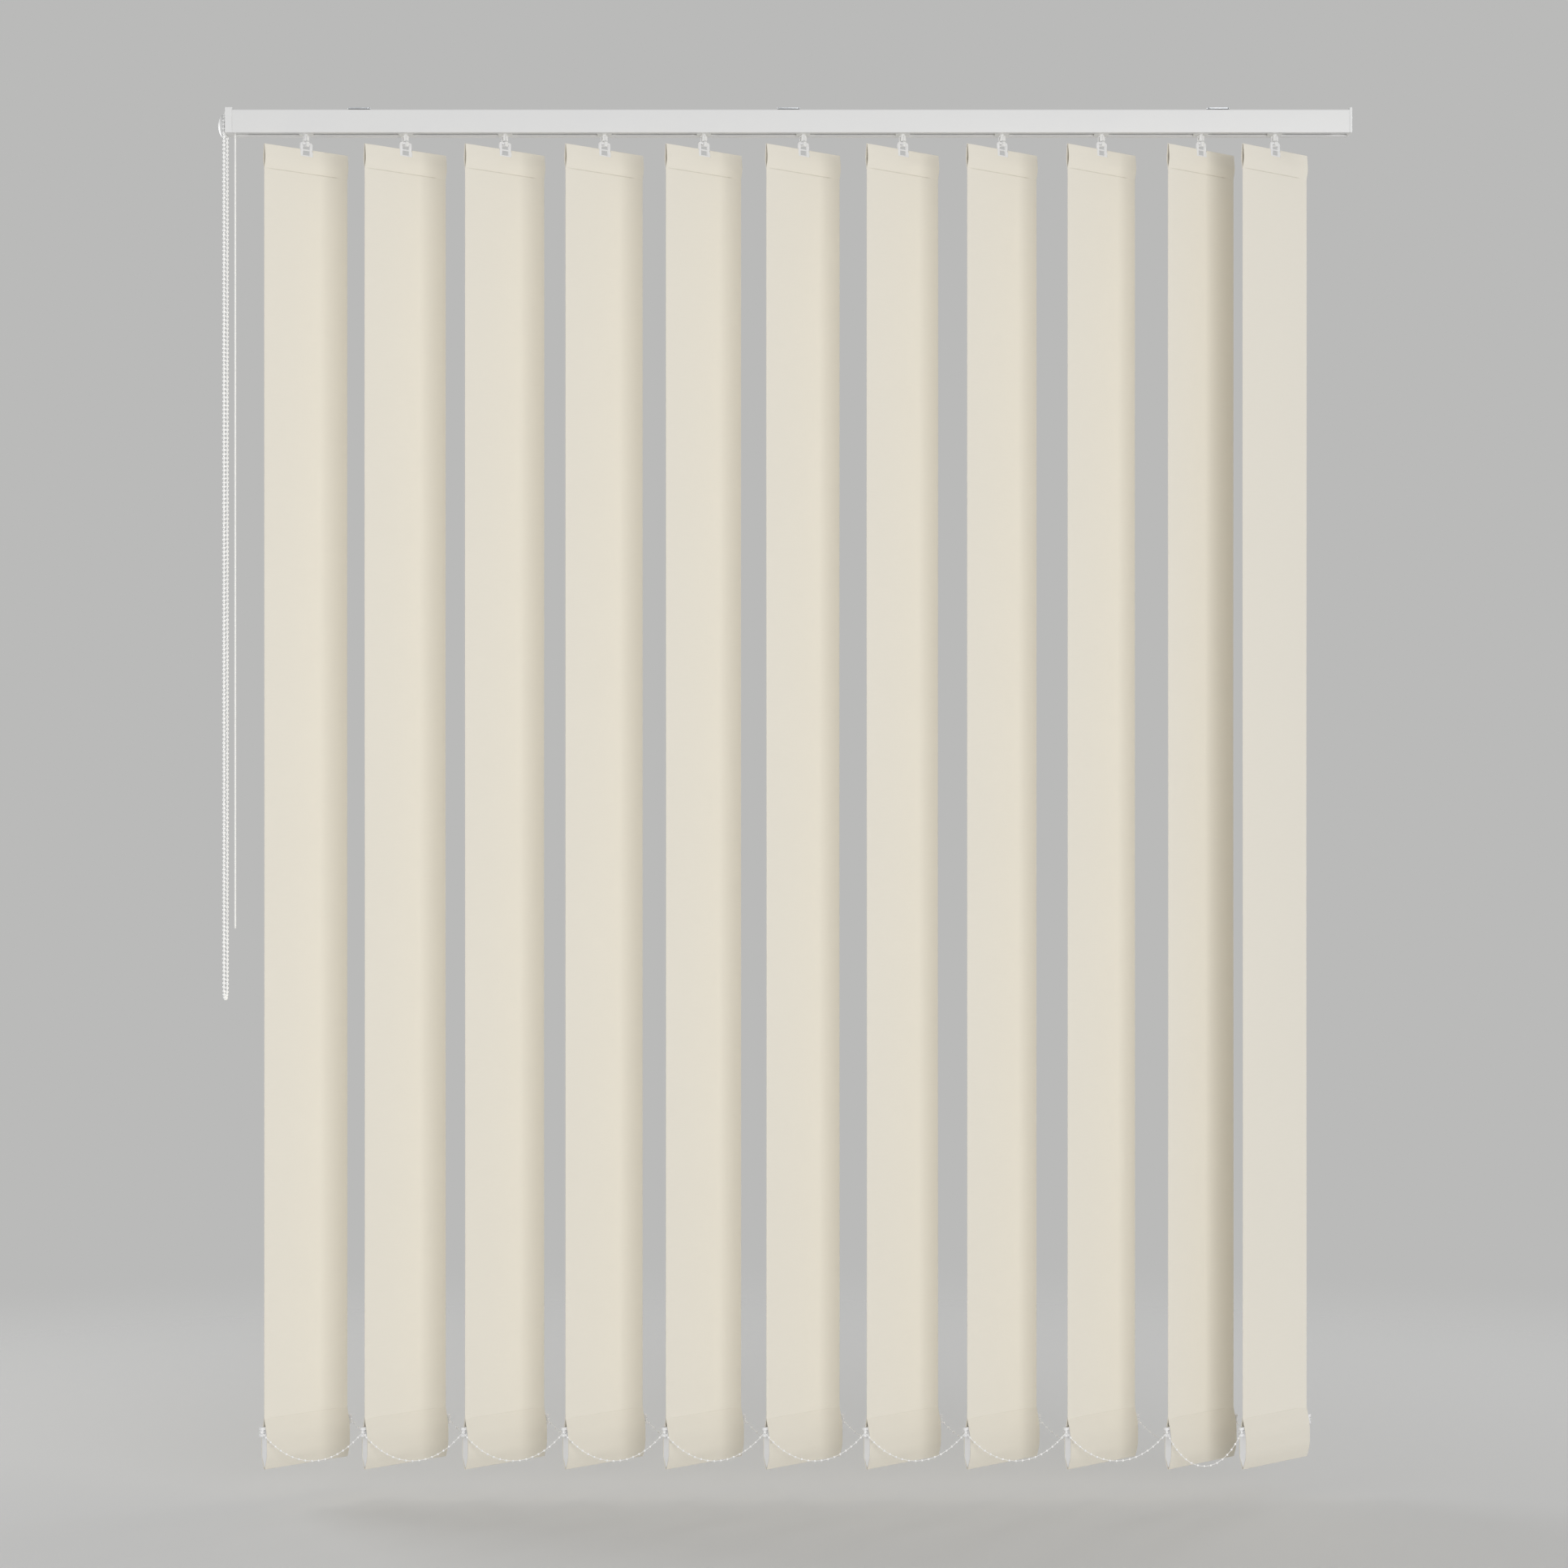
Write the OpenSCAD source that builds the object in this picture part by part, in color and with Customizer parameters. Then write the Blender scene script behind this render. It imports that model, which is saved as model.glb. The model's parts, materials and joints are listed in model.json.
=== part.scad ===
// Vertical blind: a headrail carries fabric vanes that tilt on a rod and draw to one side on a cord.
// X runs along the headrail, Y points away from the room, Z is up. The origin is on the surface that the
// brackets are screwed to, above the middle of the headrail. Millimetres.

/* [Vanes] */
// Number of vanes
vane_count = 11; // [4:1:11]
// Width of one vane
vane_width = 127; // [122:0.5:140]
// Distance between neighbouring hooks when the blind is drawn across
vane_pitch = 116; // [110:0.5:118]
// Smaller distance between the last two hooks, at the stack end
last_gap = 86.2; // [80:0.1:118]
// Height of a vane from its top fold to its bottom fold
vane_drop = 1532; // [600:1:2600]
// Turn of the vanes from the plane of the blind
vane_angle = 47.65; // [25:0.05:90]
// Thickness of the fabric
fabric_t = 0.5; // [0.4:0.05:0.8]
// Height of the top pocket, down to its hem
top_pocket_h = 28; // [24:0.5:40]
// Height of the bottom pocket, up to its hem
bottom_pocket_h = 58.5; // [56:0.5:70]

/* [Headrail] */
// Depth of the headrail, front to back
rail_depth = 40; // [40:0.5:50]
// Height of the headrail
rail_height = 27; // [27:0.5:34]
// Wall of the headrail
rail_wall = 1.4; // [1:0.1:1.6]
// Width of the slot along the underside
rail_slot = 18; // [17.6:0.2:20]
// Gap above the headrail that the brackets fill
bracket_gap = 2.8; // [2.4:0.1:5]
// Distance from the outer face of the control end cap to the first hook
lead_end_space = 92.5; // [80:0.5:200]
// Distance from the last hook to the outer face of the return end cap
stack_end_space = 87.9; // [80:0.1:200]

/* [End caps] */
// Length of the control end cap along the headrail
control_cap_length = 8.3; // [6:0.1:14]
// Thickness of the return end cap's plate
return_cap_plate = 2.9; // [2:0.1:6]

/* [Brackets] */
// Distance between the screws of the two outer brackets
bracket_spacing = 1000; // [300:10:1100]
// Radius of the screw hole in each bracket
screw_hole_r = 2.25; // [1.8:0.05:2.6]
// Thickness of the bracket plate
bracket_t = 1.6; // [1.2:0.1:2]

/* [Tilt chain] */
// Diameter of a tilt chain bead
tilt_bead_d = 3.6; // [3:0.1:4]
// Distance between tilt chain beads
tilt_bead_pitch = 4.74; // [4.5:0.02:6]
// Number of bead pockets round the sprocket
sprocket_pockets = 19; // [18:1:20]
// Number of bead steps in each straight run of the tilt chain
tilt_run_steps = 212; // [20:1:300]

/* [Bottom chains] */
// Diameter of a bottom chain bead
chain_bead_d = 2.4; // [2:0.1:2.6]
// Distance between bottom chain beads
chain_bead_pitch = 7.66; // [7.4:0.02:8]
// Bead steps between two vanes
span_steps = 18; // [17:1:22]
// Bead steps between the last two vanes
last_span_steps = 16; // [15:1:22]

/* [Hidden] */
two_digits = function(i) i < 10 ? str("0", i) : str(i);
vane_numbers = [for (i = [1 : vane_count]) two_digits(i)];

// Colours
cream = "#E4DECF";
rail_white = "#E6E6E4";
plastic_white = "#F2F2F0";
pale_grey = "#DADAD8";
bright_metal = "#C4C7CA";

// One clearance for pieces that seat, one for pieces that run, and one overrun for all cuts
seat_gap = 0.2;
run_gap = 0.3;
cut = 1;

// Steps of a round outline and of a small bead
round_fn = 48;
bead_fn = 16;

// Headrail section
rail_edge_r = 1.5;
channel_opening = 16;
channel_width = 24;
channel_depth = 3.6;
track_rib_h = 1.1;
track_rib_t = 1;
rail_top = -bracket_gap;
rail_bottom = rail_top - rail_height;
channel_floor = rail_top - rail_wall - channel_depth;
rail_ceiling = channel_floor - rail_wall;
track_z = rail_bottom + rail_wall;
rail_inside = rail_depth / 2 - rail_wall;

// Lengths along the headrail
overall_length = lead_end_space + (vane_count - 2) * vane_pitch + last_gap + stack_end_space;
left_face = -overall_length / 2;
right_face = overall_length / 2;
rail_left = left_face + control_cap_length;
rail_right = right_face - return_cap_plate;
hook_x = function(i) left_face + lead_end_space + (i < vane_count
    ? (i - 1) * vane_pitch
    : (vane_count - 2) * vane_pitch + last_gap);

// Where the hooks and the rod lie across the headrail
hook_y = -3;
pinion_teeth = 10;
pinion_r = 3.8;
pinion_root_share = 0.76;
tooth_half_share = 0.3;
pinion_h = 5.6;
rod_r = 2;
rod_groove_r = 0.45;
rod_grooves = 3;
mesh_gap = 0.3;
rod_y = hook_y + pinion_r + mesh_gap + rod_r;
rod_z = -19.2;

// Carrier
carrier_length = 28;
carrier_width = 19.2;
carrier_boss = 16.4;
carrier_edge_r = 1.5;
wheel_r = 4.2;
wheel_t = 4;
wheel_edge = 0.6;
axle_r = 1.6;
wheel_inset = 1;
carrier_top = rail_ceiling - run_gap * 2;
carrier_floor = track_z + track_rib_h + run_gap;
pinion_top = rod_z + pinion_h / 2;
pinion_bottom = rod_z - pinion_h / 2;

// Spacer strips lie in lanes above one another, so that they pass when the vanes are stacked
strip_t = 0.6;
strip_w = 3;
strip_lanes = 4;
strip_lane_step = 1.15;
strip_past = 6;
strip_root = 8;
strip_side = carrier_width / 2 - strip_w - run_gap;
strip_notch_h = strip_lanes * strip_lane_step + run_gap;

// Hook
stem_r = 2.4;
hook_w = 3.6;
prong_t = 0.9;
prong_back = 4.2;
nose_t = 2.5;
mouth_gap = 0.75;
hook_floor_t = 2.3;
hook_corner_r = 1.2;
stem_block_h = 6.4;

// Hanger: a plate in the top pocket with a framed tab that stands out of the notch
hanger_t = 1.8;
hanger_length_share = 0.9;
hanger_below_fold = 2.3;
hanger_corner_r = 4;
tab_w = 18;
tab_up = 8.2;
tab_down = 7.7;
tab_bar = 3.6;
tab_top_bar = 2.6;
cross_bar = 1.6;
tab_foot = 0.9;
tab_corner_r = 2.4;
notch_gap = 0.6;

// Heights of a vane
hook_drop = 17.4;
vane_top = rail_bottom - hook_drop;
vane_bottom = vane_top - vane_drop;
top_hem = vane_top - top_pocket_h;
bottom_hem = vane_bottom + bottom_pocket_h;
top_pocket_half = hanger_t / 2 + run_gap + fabric_t;
hem_taper = 5;
hanger_h = top_pocket_h - hanger_below_fold - hem_taper - fabric_t - run_gap;

// Bottom weight and its pocket
weight_t = 8.6;
weight_h = 46.9;
weight_top_t = 3.2;
weight_tip_t = 0.8;
weight_shoulder = 11.3;
weight_point = 12.1;
weight_lift = 2.3;
weight_inset = 0.2;
weight_bottom = vane_bottom + weight_lift;
weight_top = weight_bottom + weight_h;
pocket_half = weight_t / 2 + seat_gap / 2 + fabric_t;
pocket_bottom_half = weight_tip_t;

// Spools at both ends of a weight, which the bottom chains ring
spool_r = 3.2;
spool_core_r = 2;
spool_h = 10.6;
spool_flange = 3.2;
spool_out = 3.4;
spool_u = vane_width / 2 + spool_out;
groove_z = weight_top - spool_h / 2;

// Bottom chains
chain_thread_r = 0.45;
ring_wire_r = 0.5;
ring_r = spool_core_r + run_gap + ring_wire_r;
chain_bead_r = chain_bead_d / 2;
link_gap = 0.1;
chain_out = ring_r + ring_wire_r + link_gap / 2 + chain_bead_r;

// Tilt chain and sprocket
tilt_bead_r = tilt_bead_d / 2;
tilt_thread_r = 0.5;
sprocket_r = sprocket_pockets * tilt_bead_pitch / (2 * PI);
sprocket_rim_r = sprocket_r - tilt_thread_r - run_gap;
bead_plane_x = left_face - tilt_bead_r - 2 * seat_gap;
sprocket_flange = 1.3;
dome_h = 5.2;
dome_tip_r = 2.6;
dome_shoulder_share = 0.62;
dome_shoulder_h_share = 0.62;
tilt_run = tilt_run_steps * tilt_bead_pitch;

// Traverse cord: two runs over the control pulleys, round the return pulley, and a hanging loop
cord_r = 0.6;
cord_run_gap = 5;
cord_front_y = -8.2;
cord_back_y = cord_front_y + cord_run_gap;
pulley_cord_r = 5;
pulley_flange_r = 6;
pulley_w = 4;
pulley_axle_r = 1.5;
groove_slope_share = 0.25;
cord_z = -12.5;
pulley_z = cord_z - pulley_cord_r;
cord_from_face = 10.2;
cord_x = left_face + cord_from_face;
pulley_x = cord_x + pulley_cord_r;
return_cord_r = cord_run_gap / 2;
return_flange_r = 3.5;
return_axle_r = 0.8;
return_pulley_inset = 12;
return_pulley_x = rail_right - return_pulley_inset;
cord_hole_r = cord_r + run_gap;

// End cap plugs
control_plug = 15;
return_plug = 18;
return_shelf_z = cord_z - pulley_w / 2 - seat_gap;
cap_edge_r = 1;

// Brackets
bracket_l = 26;
bracket_w = 32;
bracket_edge_r = 3;
claw_t = 1.2;
claw_out = 2.6;
claw_h = 1.2;
claw_foot = 0.9;

// The cord's own route, from the front run's exit down to the loop and up to the back run's exit
cord_route_down = [-30, -60, -120, -240, -400, -560, -720, -860, -930, -950];
cord_loop_z = -953;
cord_loop_turn = [-60, -30, 0, 30, 60];

// A profile in Y and Z drawn along X, centred on x = 0
module along_x(length) {
    translate([-length / 2, 0, 0]) rotate([90, 0, 90]) linear_extrude(height = length) children();
}

// A profile in X and Z drawn along Y, from y0
module along_y(y0, length) {
    translate([0, y0 + length, 0]) rotate([90, 0, 0]) linear_extrude(height = length) children();
}

// A flat rectangle with round corners, from its low to its high corner
module round_rect(low, high, r) {
    translate([low.x + r, low.y]) square([high.x - low.x - 2 * r, high.y - low.y]);
    translate([low.x, low.y + r]) square([high.x - low.x, high.y - low.y - 2 * r]);
    for (x = [low.x + r, high.x - r], y = [low.y + r, high.y - r])
        translate([x, y]) circle(r = r, $fn = round_fn);
}

// A rectangle whose two upper corners are round
module round_top(low, high, r) {
    translate([low.x, low.y]) square([high.x - low.x, high.y - low.y - r]);
    translate([low.x + r, low.y]) square([high.x - low.x - 2 * r, high.y - low.y]);
    for (x = [low.x + r, high.x - r])
        translate([x, high.y - r]) circle(r = r, $fn = round_fn);
}

// A box from its low to its high corner
module box(low, high) {
    translate(low) cube(high - low);
}

// A cylinder along X or Y, from its start
module rod_x(r, start, length) {
    translate(start) rotate([0, 90, 0]) cylinder(r = r, h = length, $fn = round_fn);
}

module rod_y_axis(r, start, length) {
    translate(start) rotate([-90, 0, 0]) cylinder(r = r, h = length, $fn = round_fn);
}

// Moves what belongs to vane i from the hook's own axes to its place and turn
module at_hook(i) {
    translate([hook_x(i), hook_y, 0]) rotate([0, 0, vane_angle]) children();
}

// The headrail's section: channel for the brackets on top, slot and wheel tracks below
module rail_section() {
    difference() {
        round_top([-rail_depth / 2, rail_bottom], [rail_depth / 2, rail_top], rail_edge_r);
        translate([-rail_inside, track_z]) square([2 * rail_inside, rail_ceiling - track_z]);
        translate([-channel_width / 2, channel_floor]) square([channel_width, channel_depth]);
        translate([-channel_opening / 2, channel_floor])
            square([channel_opening, rail_top - channel_floor + cut]);
        translate([-rail_slot / 2, rail_bottom - cut]) square([rail_slot, rail_wall + 2 * cut]);
    }
    for (side = [-1, 1])
        translate([side * (rail_slot / 2 + track_rib_t / 2) - track_rib_t / 2, rail_bottom])
            square([track_rib_t, rail_wall + track_rib_h]);
}

module headrail() {
    color(rail_white)
        translate([(rail_left + rail_right) / 2, 0, 0]) along_x(rail_right - rail_left) rail_section();
}

// The part of an end cap that slides into the headrail, between two X places
module cap_plug(x0, x1, top) {
    box([x0, -rail_inside + seat_gap, track_z + track_rib_h + seat_gap], [x1, rail_inside - seat_gap, top]);
    box([x0, -rail_inside + seat_gap, track_z + seat_gap],
        [x1, -rail_slot / 2 - track_rib_t - seat_gap, track_z + track_rib_h + 2 * seat_gap]);
    box([x0, rail_slot / 2 + track_rib_t + seat_gap, track_z + seat_gap],
        [x1, rail_inside - seat_gap, track_z + track_rib_h + 2 * seat_gap]);
}

module control_end_cap() {
    plug_end = rail_left + control_plug;
    pulley_room_front = cord_front_y - pulley_w / 2 - seat_gap;
    pulley_room_back = cord_back_y + pulley_w / 2 + seat_gap;
    color(plastic_white) {
        difference() {
            union() {
                translate([left_face + control_cap_length / 2, 0, 0]) along_x(control_cap_length)
                    round_top([-rail_depth / 2, rail_bottom], [rail_depth / 2, 0], cap_edge_r);
                cap_plug(rail_left, plug_end, rail_ceiling - seat_gap);
            }
            box([rail_left, pulley_room_front, rail_bottom - cut], [plug_end + cut, pulley_room_back, cut]);
            rod_x(rod_r + seat_gap, [left_face - cut, rod_y, rod_z],
                control_cap_length + control_plug + 2 * cut);
        }
        rod_y_axis(pulley_axle_r, [pulley_x, pulley_room_front, pulley_z],
            pulley_room_back - pulley_room_front);
    }
}

module return_end_cap() {
    plug_start = rail_right - return_plug;
    color(plastic_white) {
        difference() {
            union() {
                translate([right_face - return_cap_plate / 2, 0, 0]) along_x(return_cap_plate)
                    round_top([-rail_depth / 2, rail_bottom], [rail_depth / 2, 0], rail_edge_r);
                cap_plug(plug_start, rail_right, return_shelf_z);
            }
            rod_x(rod_r + seat_gap, [plug_start - cut, rod_y, rod_z], return_plug + cut);
        }
        translate([return_pulley_x, cord_front_y + return_cord_r, return_shelf_z])
            cylinder(r = return_axle_r, h = pulley_w + seat_gap, $fn = round_fn);
    }
}

// One bracket: a screwed plate whose two claws hook under the lips of the headrail's channel
module bracket() {
    leg_out = channel_opening / 2 - seat_gap;
    lip_under = rail_top - rail_wall - seat_gap;
    difference() {
        translate([0, 0, -bracket_t]) linear_extrude(height = bracket_t)
            round_rect([-bracket_l / 2, -bracket_w / 2], [bracket_l / 2, bracket_w / 2], bracket_edge_r);
        translate([0, 0, -bracket_t - cut])
            cylinder(r = screw_hole_r, h = bracket_t + 2 * cut, $fn = round_fn);
    }
    for (side = [0, 1])
        mirror([0, side, 0]) along_x(bracket_l - 2 * bracket_edge_r)
            polygon([
                [leg_out - claw_t, -bracket_t],
                [leg_out, -bracket_t],
                [leg_out, lip_under],
                [leg_out + claw_out, lip_under],
                [leg_out, lip_under - claw_h - claw_foot],
                [leg_out - claw_t, lip_under - claw_h - claw_foot]
            ]);
}

module mounting_brackets() {
    color(bright_metal)
        for (x = [-bracket_spacing / 2, 0, bracket_spacing / 2])
            translate([x, 0, 0]) bracket();
}

module tilt_rod() {
    rod_start = bead_plane_x;
    rod_end = rail_right - seat_gap * 2;
    color(bright_metal)
        translate([rod_start, rod_y, rod_z]) rotate([0, 90, 0]) linear_extrude(height = rod_end - rod_start)
            difference() {
                circle(r = rod_r, $fn = round_fn);
                for (k = [0 : rod_grooves - 1])
                    rotate(k * 360 / rod_grooves) translate([rod_r, 0])
                        circle(r = rod_groove_r, $fn = round_fn);
            }
}

// The sprocket is turned about the rod: a pocketed rim against the cap and a domed hub outside it
module chain_sprocket() {
    inner = left_face - seat_gap - bead_plane_x;
    outer = -tilt_bead_r - sprocket_flange;
    color(plastic_white)
        translate([bead_plane_x, rod_y, rod_z])
            difference() {
                rotate([0, -90, 0]) rotate_extrude($fn = round_fn)
                    polygon([
                        [0, -inner],
                        [sprocket_rim_r, -inner],
                        [sprocket_rim_r, -outer],
                        [sprocket_rim_r * dome_shoulder_share, -outer + dome_h * dome_shoulder_h_share],
                        [dome_tip_r, -outer + dome_h],
                        [0, -outer + dome_h]
                    ]);
                for (k = [0 : sprocket_pockets - 1])
                    rotate([k * 360 / sprocket_pockets, 0, 0]) translate([0, -sprocket_r, 0])
                        sphere(r = tilt_bead_r + seat_gap, $fn = round_fn);
                rod_x(rod_r + seat_gap, [0, 0, 0], inner + cut);
            }
}

// Bead j of the tilt chain, counted from the front of the sprocket over its top, in Y and Z about the rod
tilt_steps_round = sprocket_pockets / 2;
tilt_beads = 2 * tilt_run_steps + sprocket_pockets;
tilt_bead_at = function(j)
    j <= tilt_steps_round
        ? let (a = j * 360 / sprocket_pockets) [-sprocket_r * cos(a), sprocket_r * sin(a)]
    : j <= tilt_steps_round + tilt_run_steps
        ? [sprocket_r, -(j - tilt_steps_round) * tilt_bead_pitch]
    : j <= 2 * tilt_steps_round + tilt_run_steps
        ? let (a = (j - tilt_steps_round - tilt_run_steps) * 360 / sprocket_pockets)
            [sprocket_r * cos(a), -tilt_run - sprocket_r * sin(a)]
    : [-sprocket_r, -tilt_run + (j - 2 * tilt_steps_round - tilt_run_steps) * tilt_bead_pitch];

// Half a ring of thread in the plane of Y and Z, over or under its centre
module thread_turn(r, thread_r, up) {
    rotate([0, 90, 0]) rotate([0, 0, up > 0 ? 90 : -90])
        rotate_extrude(angle = 180, $fn = round_fn) translate([r, 0]) circle(r = thread_r, $fn = bead_fn);
}

module tilt_chain() {
    color(plastic_white)
        translate([bead_plane_x, rod_y, rod_z]) {
            for (j = [0 : tilt_beads - 1])
                translate([0, tilt_bead_at(j).x, tilt_bead_at(j).y]) sphere(r = tilt_bead_r, $fn = bead_fn);
            thread_turn(sprocket_r, tilt_thread_r, 1);
            translate([0, 0, -tilt_run]) thread_turn(sprocket_r, tilt_thread_r, -1);
            for (side = [-1, 1])
                translate([0, side * sprocket_r, -tilt_run])
                    cylinder(r = tilt_thread_r, h = tilt_run, $fn = bead_fn);
        }
}

// A tube of eight sides swept along points that lie in one plane of Y and Z
cord_sides = 8;
module swept_cord(points, r) {
    last = len(points) - 1;
    heading = [for (k = [0 : last]) let (d = points[min(k + 1, last)] - points[max(k - 1, 0)]) d / norm(d)];
    rings = [for (k = [0 : last], s = [0 : cord_sides - 1])
        let (a = s * 360 / cord_sides, side = [0, -heading[k].z, heading[k].y])
            points[k] + r * (cos(a) * [1, 0, 0] + sin(a) * side)];
    walls = [for (k = [0 : last - 1], s = [0 : cord_sides - 1])
        let (n = (s + 1) % cord_sides, low = k * cord_sides, high = low + cord_sides)
            [low + s, low + n, high + n, high + s]];
    ends = [[for (s = [cord_sides - 1 : -1 : 0]) s], [for (s = [0 : cord_sides - 1]) last * cord_sides + s]];
    polyhedron(points = rings, faces = concat(walls, ends));
}

// The hanging loop of the traverse cord
module traverse_cord() {
    loop_r = cord_run_gap / 2;
    mid_y = cord_front_y + loop_r;
    turn = [for (a = cord_loop_turn) [cord_x, mid_y + loop_r * sin(a), cord_loop_z - loop_r * cos(a)]];
    down = [for (z = concat([rail_bottom], cord_route_down, [cord_loop_z])) [cord_x, cord_front_y, z]];
    up = [for (k = [len(down) - 1 : -1 : 0]) [cord_x, cord_back_y, down[k].z]];
    color(plastic_white) swept_cord(concat(down, turn, up), cord_r);
}

// The traverse cord inside the headrail: down-runs, control turns, straight runs and return turn
module rail_cord() {
    color(plastic_white) {
        for (y = [cord_front_y, cord_back_y]) {
            translate([cord_x, y, rail_bottom])
                cylinder(r = cord_r, h = pulley_z - rail_bottom, $fn = bead_fn);
            translate([pulley_x, y, pulley_z]) rotate([90, 0, 0]) rotate([0, 0, 90])
                rotate_extrude(angle = 90, $fn = round_fn) translate([pulley_cord_r, 0])
                    circle(r = cord_r, $fn = bead_fn);
            translate([pulley_x, y, cord_z]) rotate([0, 90, 0])
                cylinder(r = cord_r, h = return_pulley_x - pulley_x, $fn = bead_fn);
        }
        translate([return_pulley_x, cord_front_y + return_cord_r, cord_z]) rotate([0, 0, -90])
            rotate_extrude(angle = 180, $fn = round_fn) translate([return_cord_r, 0])
                circle(r = cord_r, $fn = bead_fn);
    }
}

// A grooved wheel about Z, with its groove clear of a cord whose middle runs at cord_at
module pulley(cord_at, flange_r, bore_r) {
    groove_r = cord_at - cord_r - seat_gap / 2;
    groove_half = cord_r + seat_gap;
    mouth_half = groove_half + (flange_r - groove_r) * groove_slope_share;
    rotate_extrude($fn = round_fn)
        polygon([
            [bore_r, -pulley_w / 2],
            [flange_r, -pulley_w / 2],
            [flange_r, -mouth_half],
            [groove_r, -groove_half],
            [groove_r, groove_half],
            [flange_r, mouth_half],
            [flange_r, pulley_w / 2],
            [bore_r, pulley_w / 2]
        ]);
}

module control_pulley(y) {
    color(pale_grey)
        translate([pulley_x, y, pulley_z]) rotate([90, 0, 0])
            pulley(pulley_cord_r, pulley_flange_r, pulley_axle_r + seat_gap);
}

module return_pulley() {
    color(pale_grey)
        translate([return_pulley_x, cord_front_y + return_cord_r, cord_z])
            pulley(return_cord_r, return_flange_r, return_axle_r + seat_gap);
}

// Carrier i: a geared body on two wheels, with a spacer strip towards the lead end
module carrier(i) {
    top_z = carrier_top;
    notch_z = top_z - strip_notch_h;
    lane_z = top_z - run_gap - (i % strip_lanes) * strip_lane_step - strip_t;
    wheel_z = track_z + wheel_r + seat_gap;
    wheel_y = rail_inside - wheel_inset - wheel_t;
    color(pale_grey)
        translate([hook_x(i), 0, 0]) {
            difference() {
                union() {
                    translate([0, 0, carrier_floor]) linear_extrude(height = top_z - carrier_floor)
                        round_rect([-carrier_length / 2, -carrier_width / 2],
                            [carrier_length / 2, carrier_width / 2], carrier_edge_r);
                    box([-carrier_boss / 2, -rail_slot / 2 + run_gap, rail_bottom + seat_gap],
                        [carrier_boss / 2, rail_slot / 2 - run_gap, carrier_floor + cut]);
                }
                translate([0, hook_y, pinion_bottom - seat_gap])
                    cylinder(r = pinion_r + run_gap / 2, h = top_z - pinion_bottom + cut, $fn = round_fn);
                translate([0, hook_y, rail_bottom - cut])
                    cylinder(r = stem_r + seat_gap, h = rail_height, $fn = round_fn);
                rod_x(rod_r + seat_gap, [-carrier_length, rod_y, rod_z], 2 * carrier_length);
                for (y = [cord_front_y, cord_back_y])
                    rod_x(cord_hole_r, [-carrier_length, y, cord_z], 2 * carrier_length);
                box([-carrier_length, strip_side - run_gap, notch_z],
                    [carrier_length, carrier_width, top_z + cut]);
            }
            for (side = [0, 1])
                mirror([0, side, 0]) {
                    rod_y_axis(axle_r, [0, carrier_width / 2 - cut, wheel_z],
                        wheel_y + wheel_t - carrier_width / 2 + cut);
                    translate([0, wheel_y, wheel_z]) rotate([-90, 0, 0]) rotate_extrude($fn = round_fn)
                        polygon([
                            [0, 0],
                            [wheel_r - wheel_edge, 0],
                            [wheel_r, wheel_edge],
                            [wheel_r, wheel_t - wheel_edge],
                            [wheel_r - wheel_edge, wheel_t],
                            [0, wheel_t]
                        ]);
                }
            if (i > 1) {
                box([-vane_pitch - strip_past, strip_side, lane_z],
                    [strip_root / 2, strip_side + strip_w, lane_z + strip_t]);
                box([-strip_root / 2, strip_side - 2 * run_gap, lane_z],
                    [strip_root / 2, strip_side + strip_w, lane_z + strip_t]);
            }
        }
}

// The hook's own profile in its thickness and height: block, spring prong, crook and nose
hanger_top = vane_top + tab_up;
crook_floor = hanger_top - tab_top_bar - seat_gap;
hook_bottom = crook_floor - hook_floor_t;
nose_in = hanger_t / 2 + seat_gap;
nose_out = nose_in + nose_t;
nose_top = hanger_top + seat_gap * 4;
block_bottom = nose_top + mouth_gap;
block_top = block_bottom + stem_block_h;
module hook_section() {
    difference() {
        round_rect([-nose_out, hook_bottom], [prong_back, block_top], hook_corner_r);
        translate([-nose_in, crook_floor]) square([nose_in + prong_back - prong_t, nose_top - crook_floor]);
        translate([-nose_out - cut, nose_top]) square([nose_out + cut + prong_back - prong_t, mouth_gap]);
        translate([nose_in, nose_top]) square([prong_back - prong_t - nose_in, stem_block_h - prong_t]);
    }
}

// Hook i: a stem with a pinion on top, which the carrier holds, and a spring hook for the hanger
module hook(i) {
    tooth = function(k, r, share)
        let (a = (k + share) * 360 / pinion_teeth) [r * cos(a), r * sin(a)];
    color(plastic_white)
        at_hook(i) {
            translate([0, 0, block_bottom])
                cylinder(r = stem_r, h = pinion_top - block_bottom, $fn = round_fn);
            translate([0, 0, pinion_bottom]) linear_extrude(height = pinion_h)
                polygon([for (k = [0 : pinion_teeth - 1]) each [
                    tooth(k, pinion_r * pinion_root_share, -tooth_half_share),
                    tooth(k, pinion_r, -tooth_half_share / 2),
                    tooth(k, pinion_r, tooth_half_share / 2),
                    tooth(k, pinion_r * pinion_root_share, tooth_half_share)
                ]]);
            along_x(hook_w) hook_section();
        }
}

// The outside of the fabric's section in its thickness and height, from the bottom fold to the top fold
module fabric_outline() {
    half = fabric_t / 2;
    right = [
        [pocket_bottom_half, vane_bottom],
        [pocket_half, weight_bottom + weight_point],
        [pocket_half, weight_top - weight_shoulder],
        [half, bottom_hem],
        [half, top_hem],
        [top_pocket_half, top_hem + hem_taper],
        [top_pocket_half, vane_top - top_pocket_half],
        [top_pocket_half / 2, vane_top]
    ];
    polygon(concat(right, [for (k = [len(right) - 1 : -1 : 0]) [-right[k].x, right[k].y]]));
}

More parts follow.
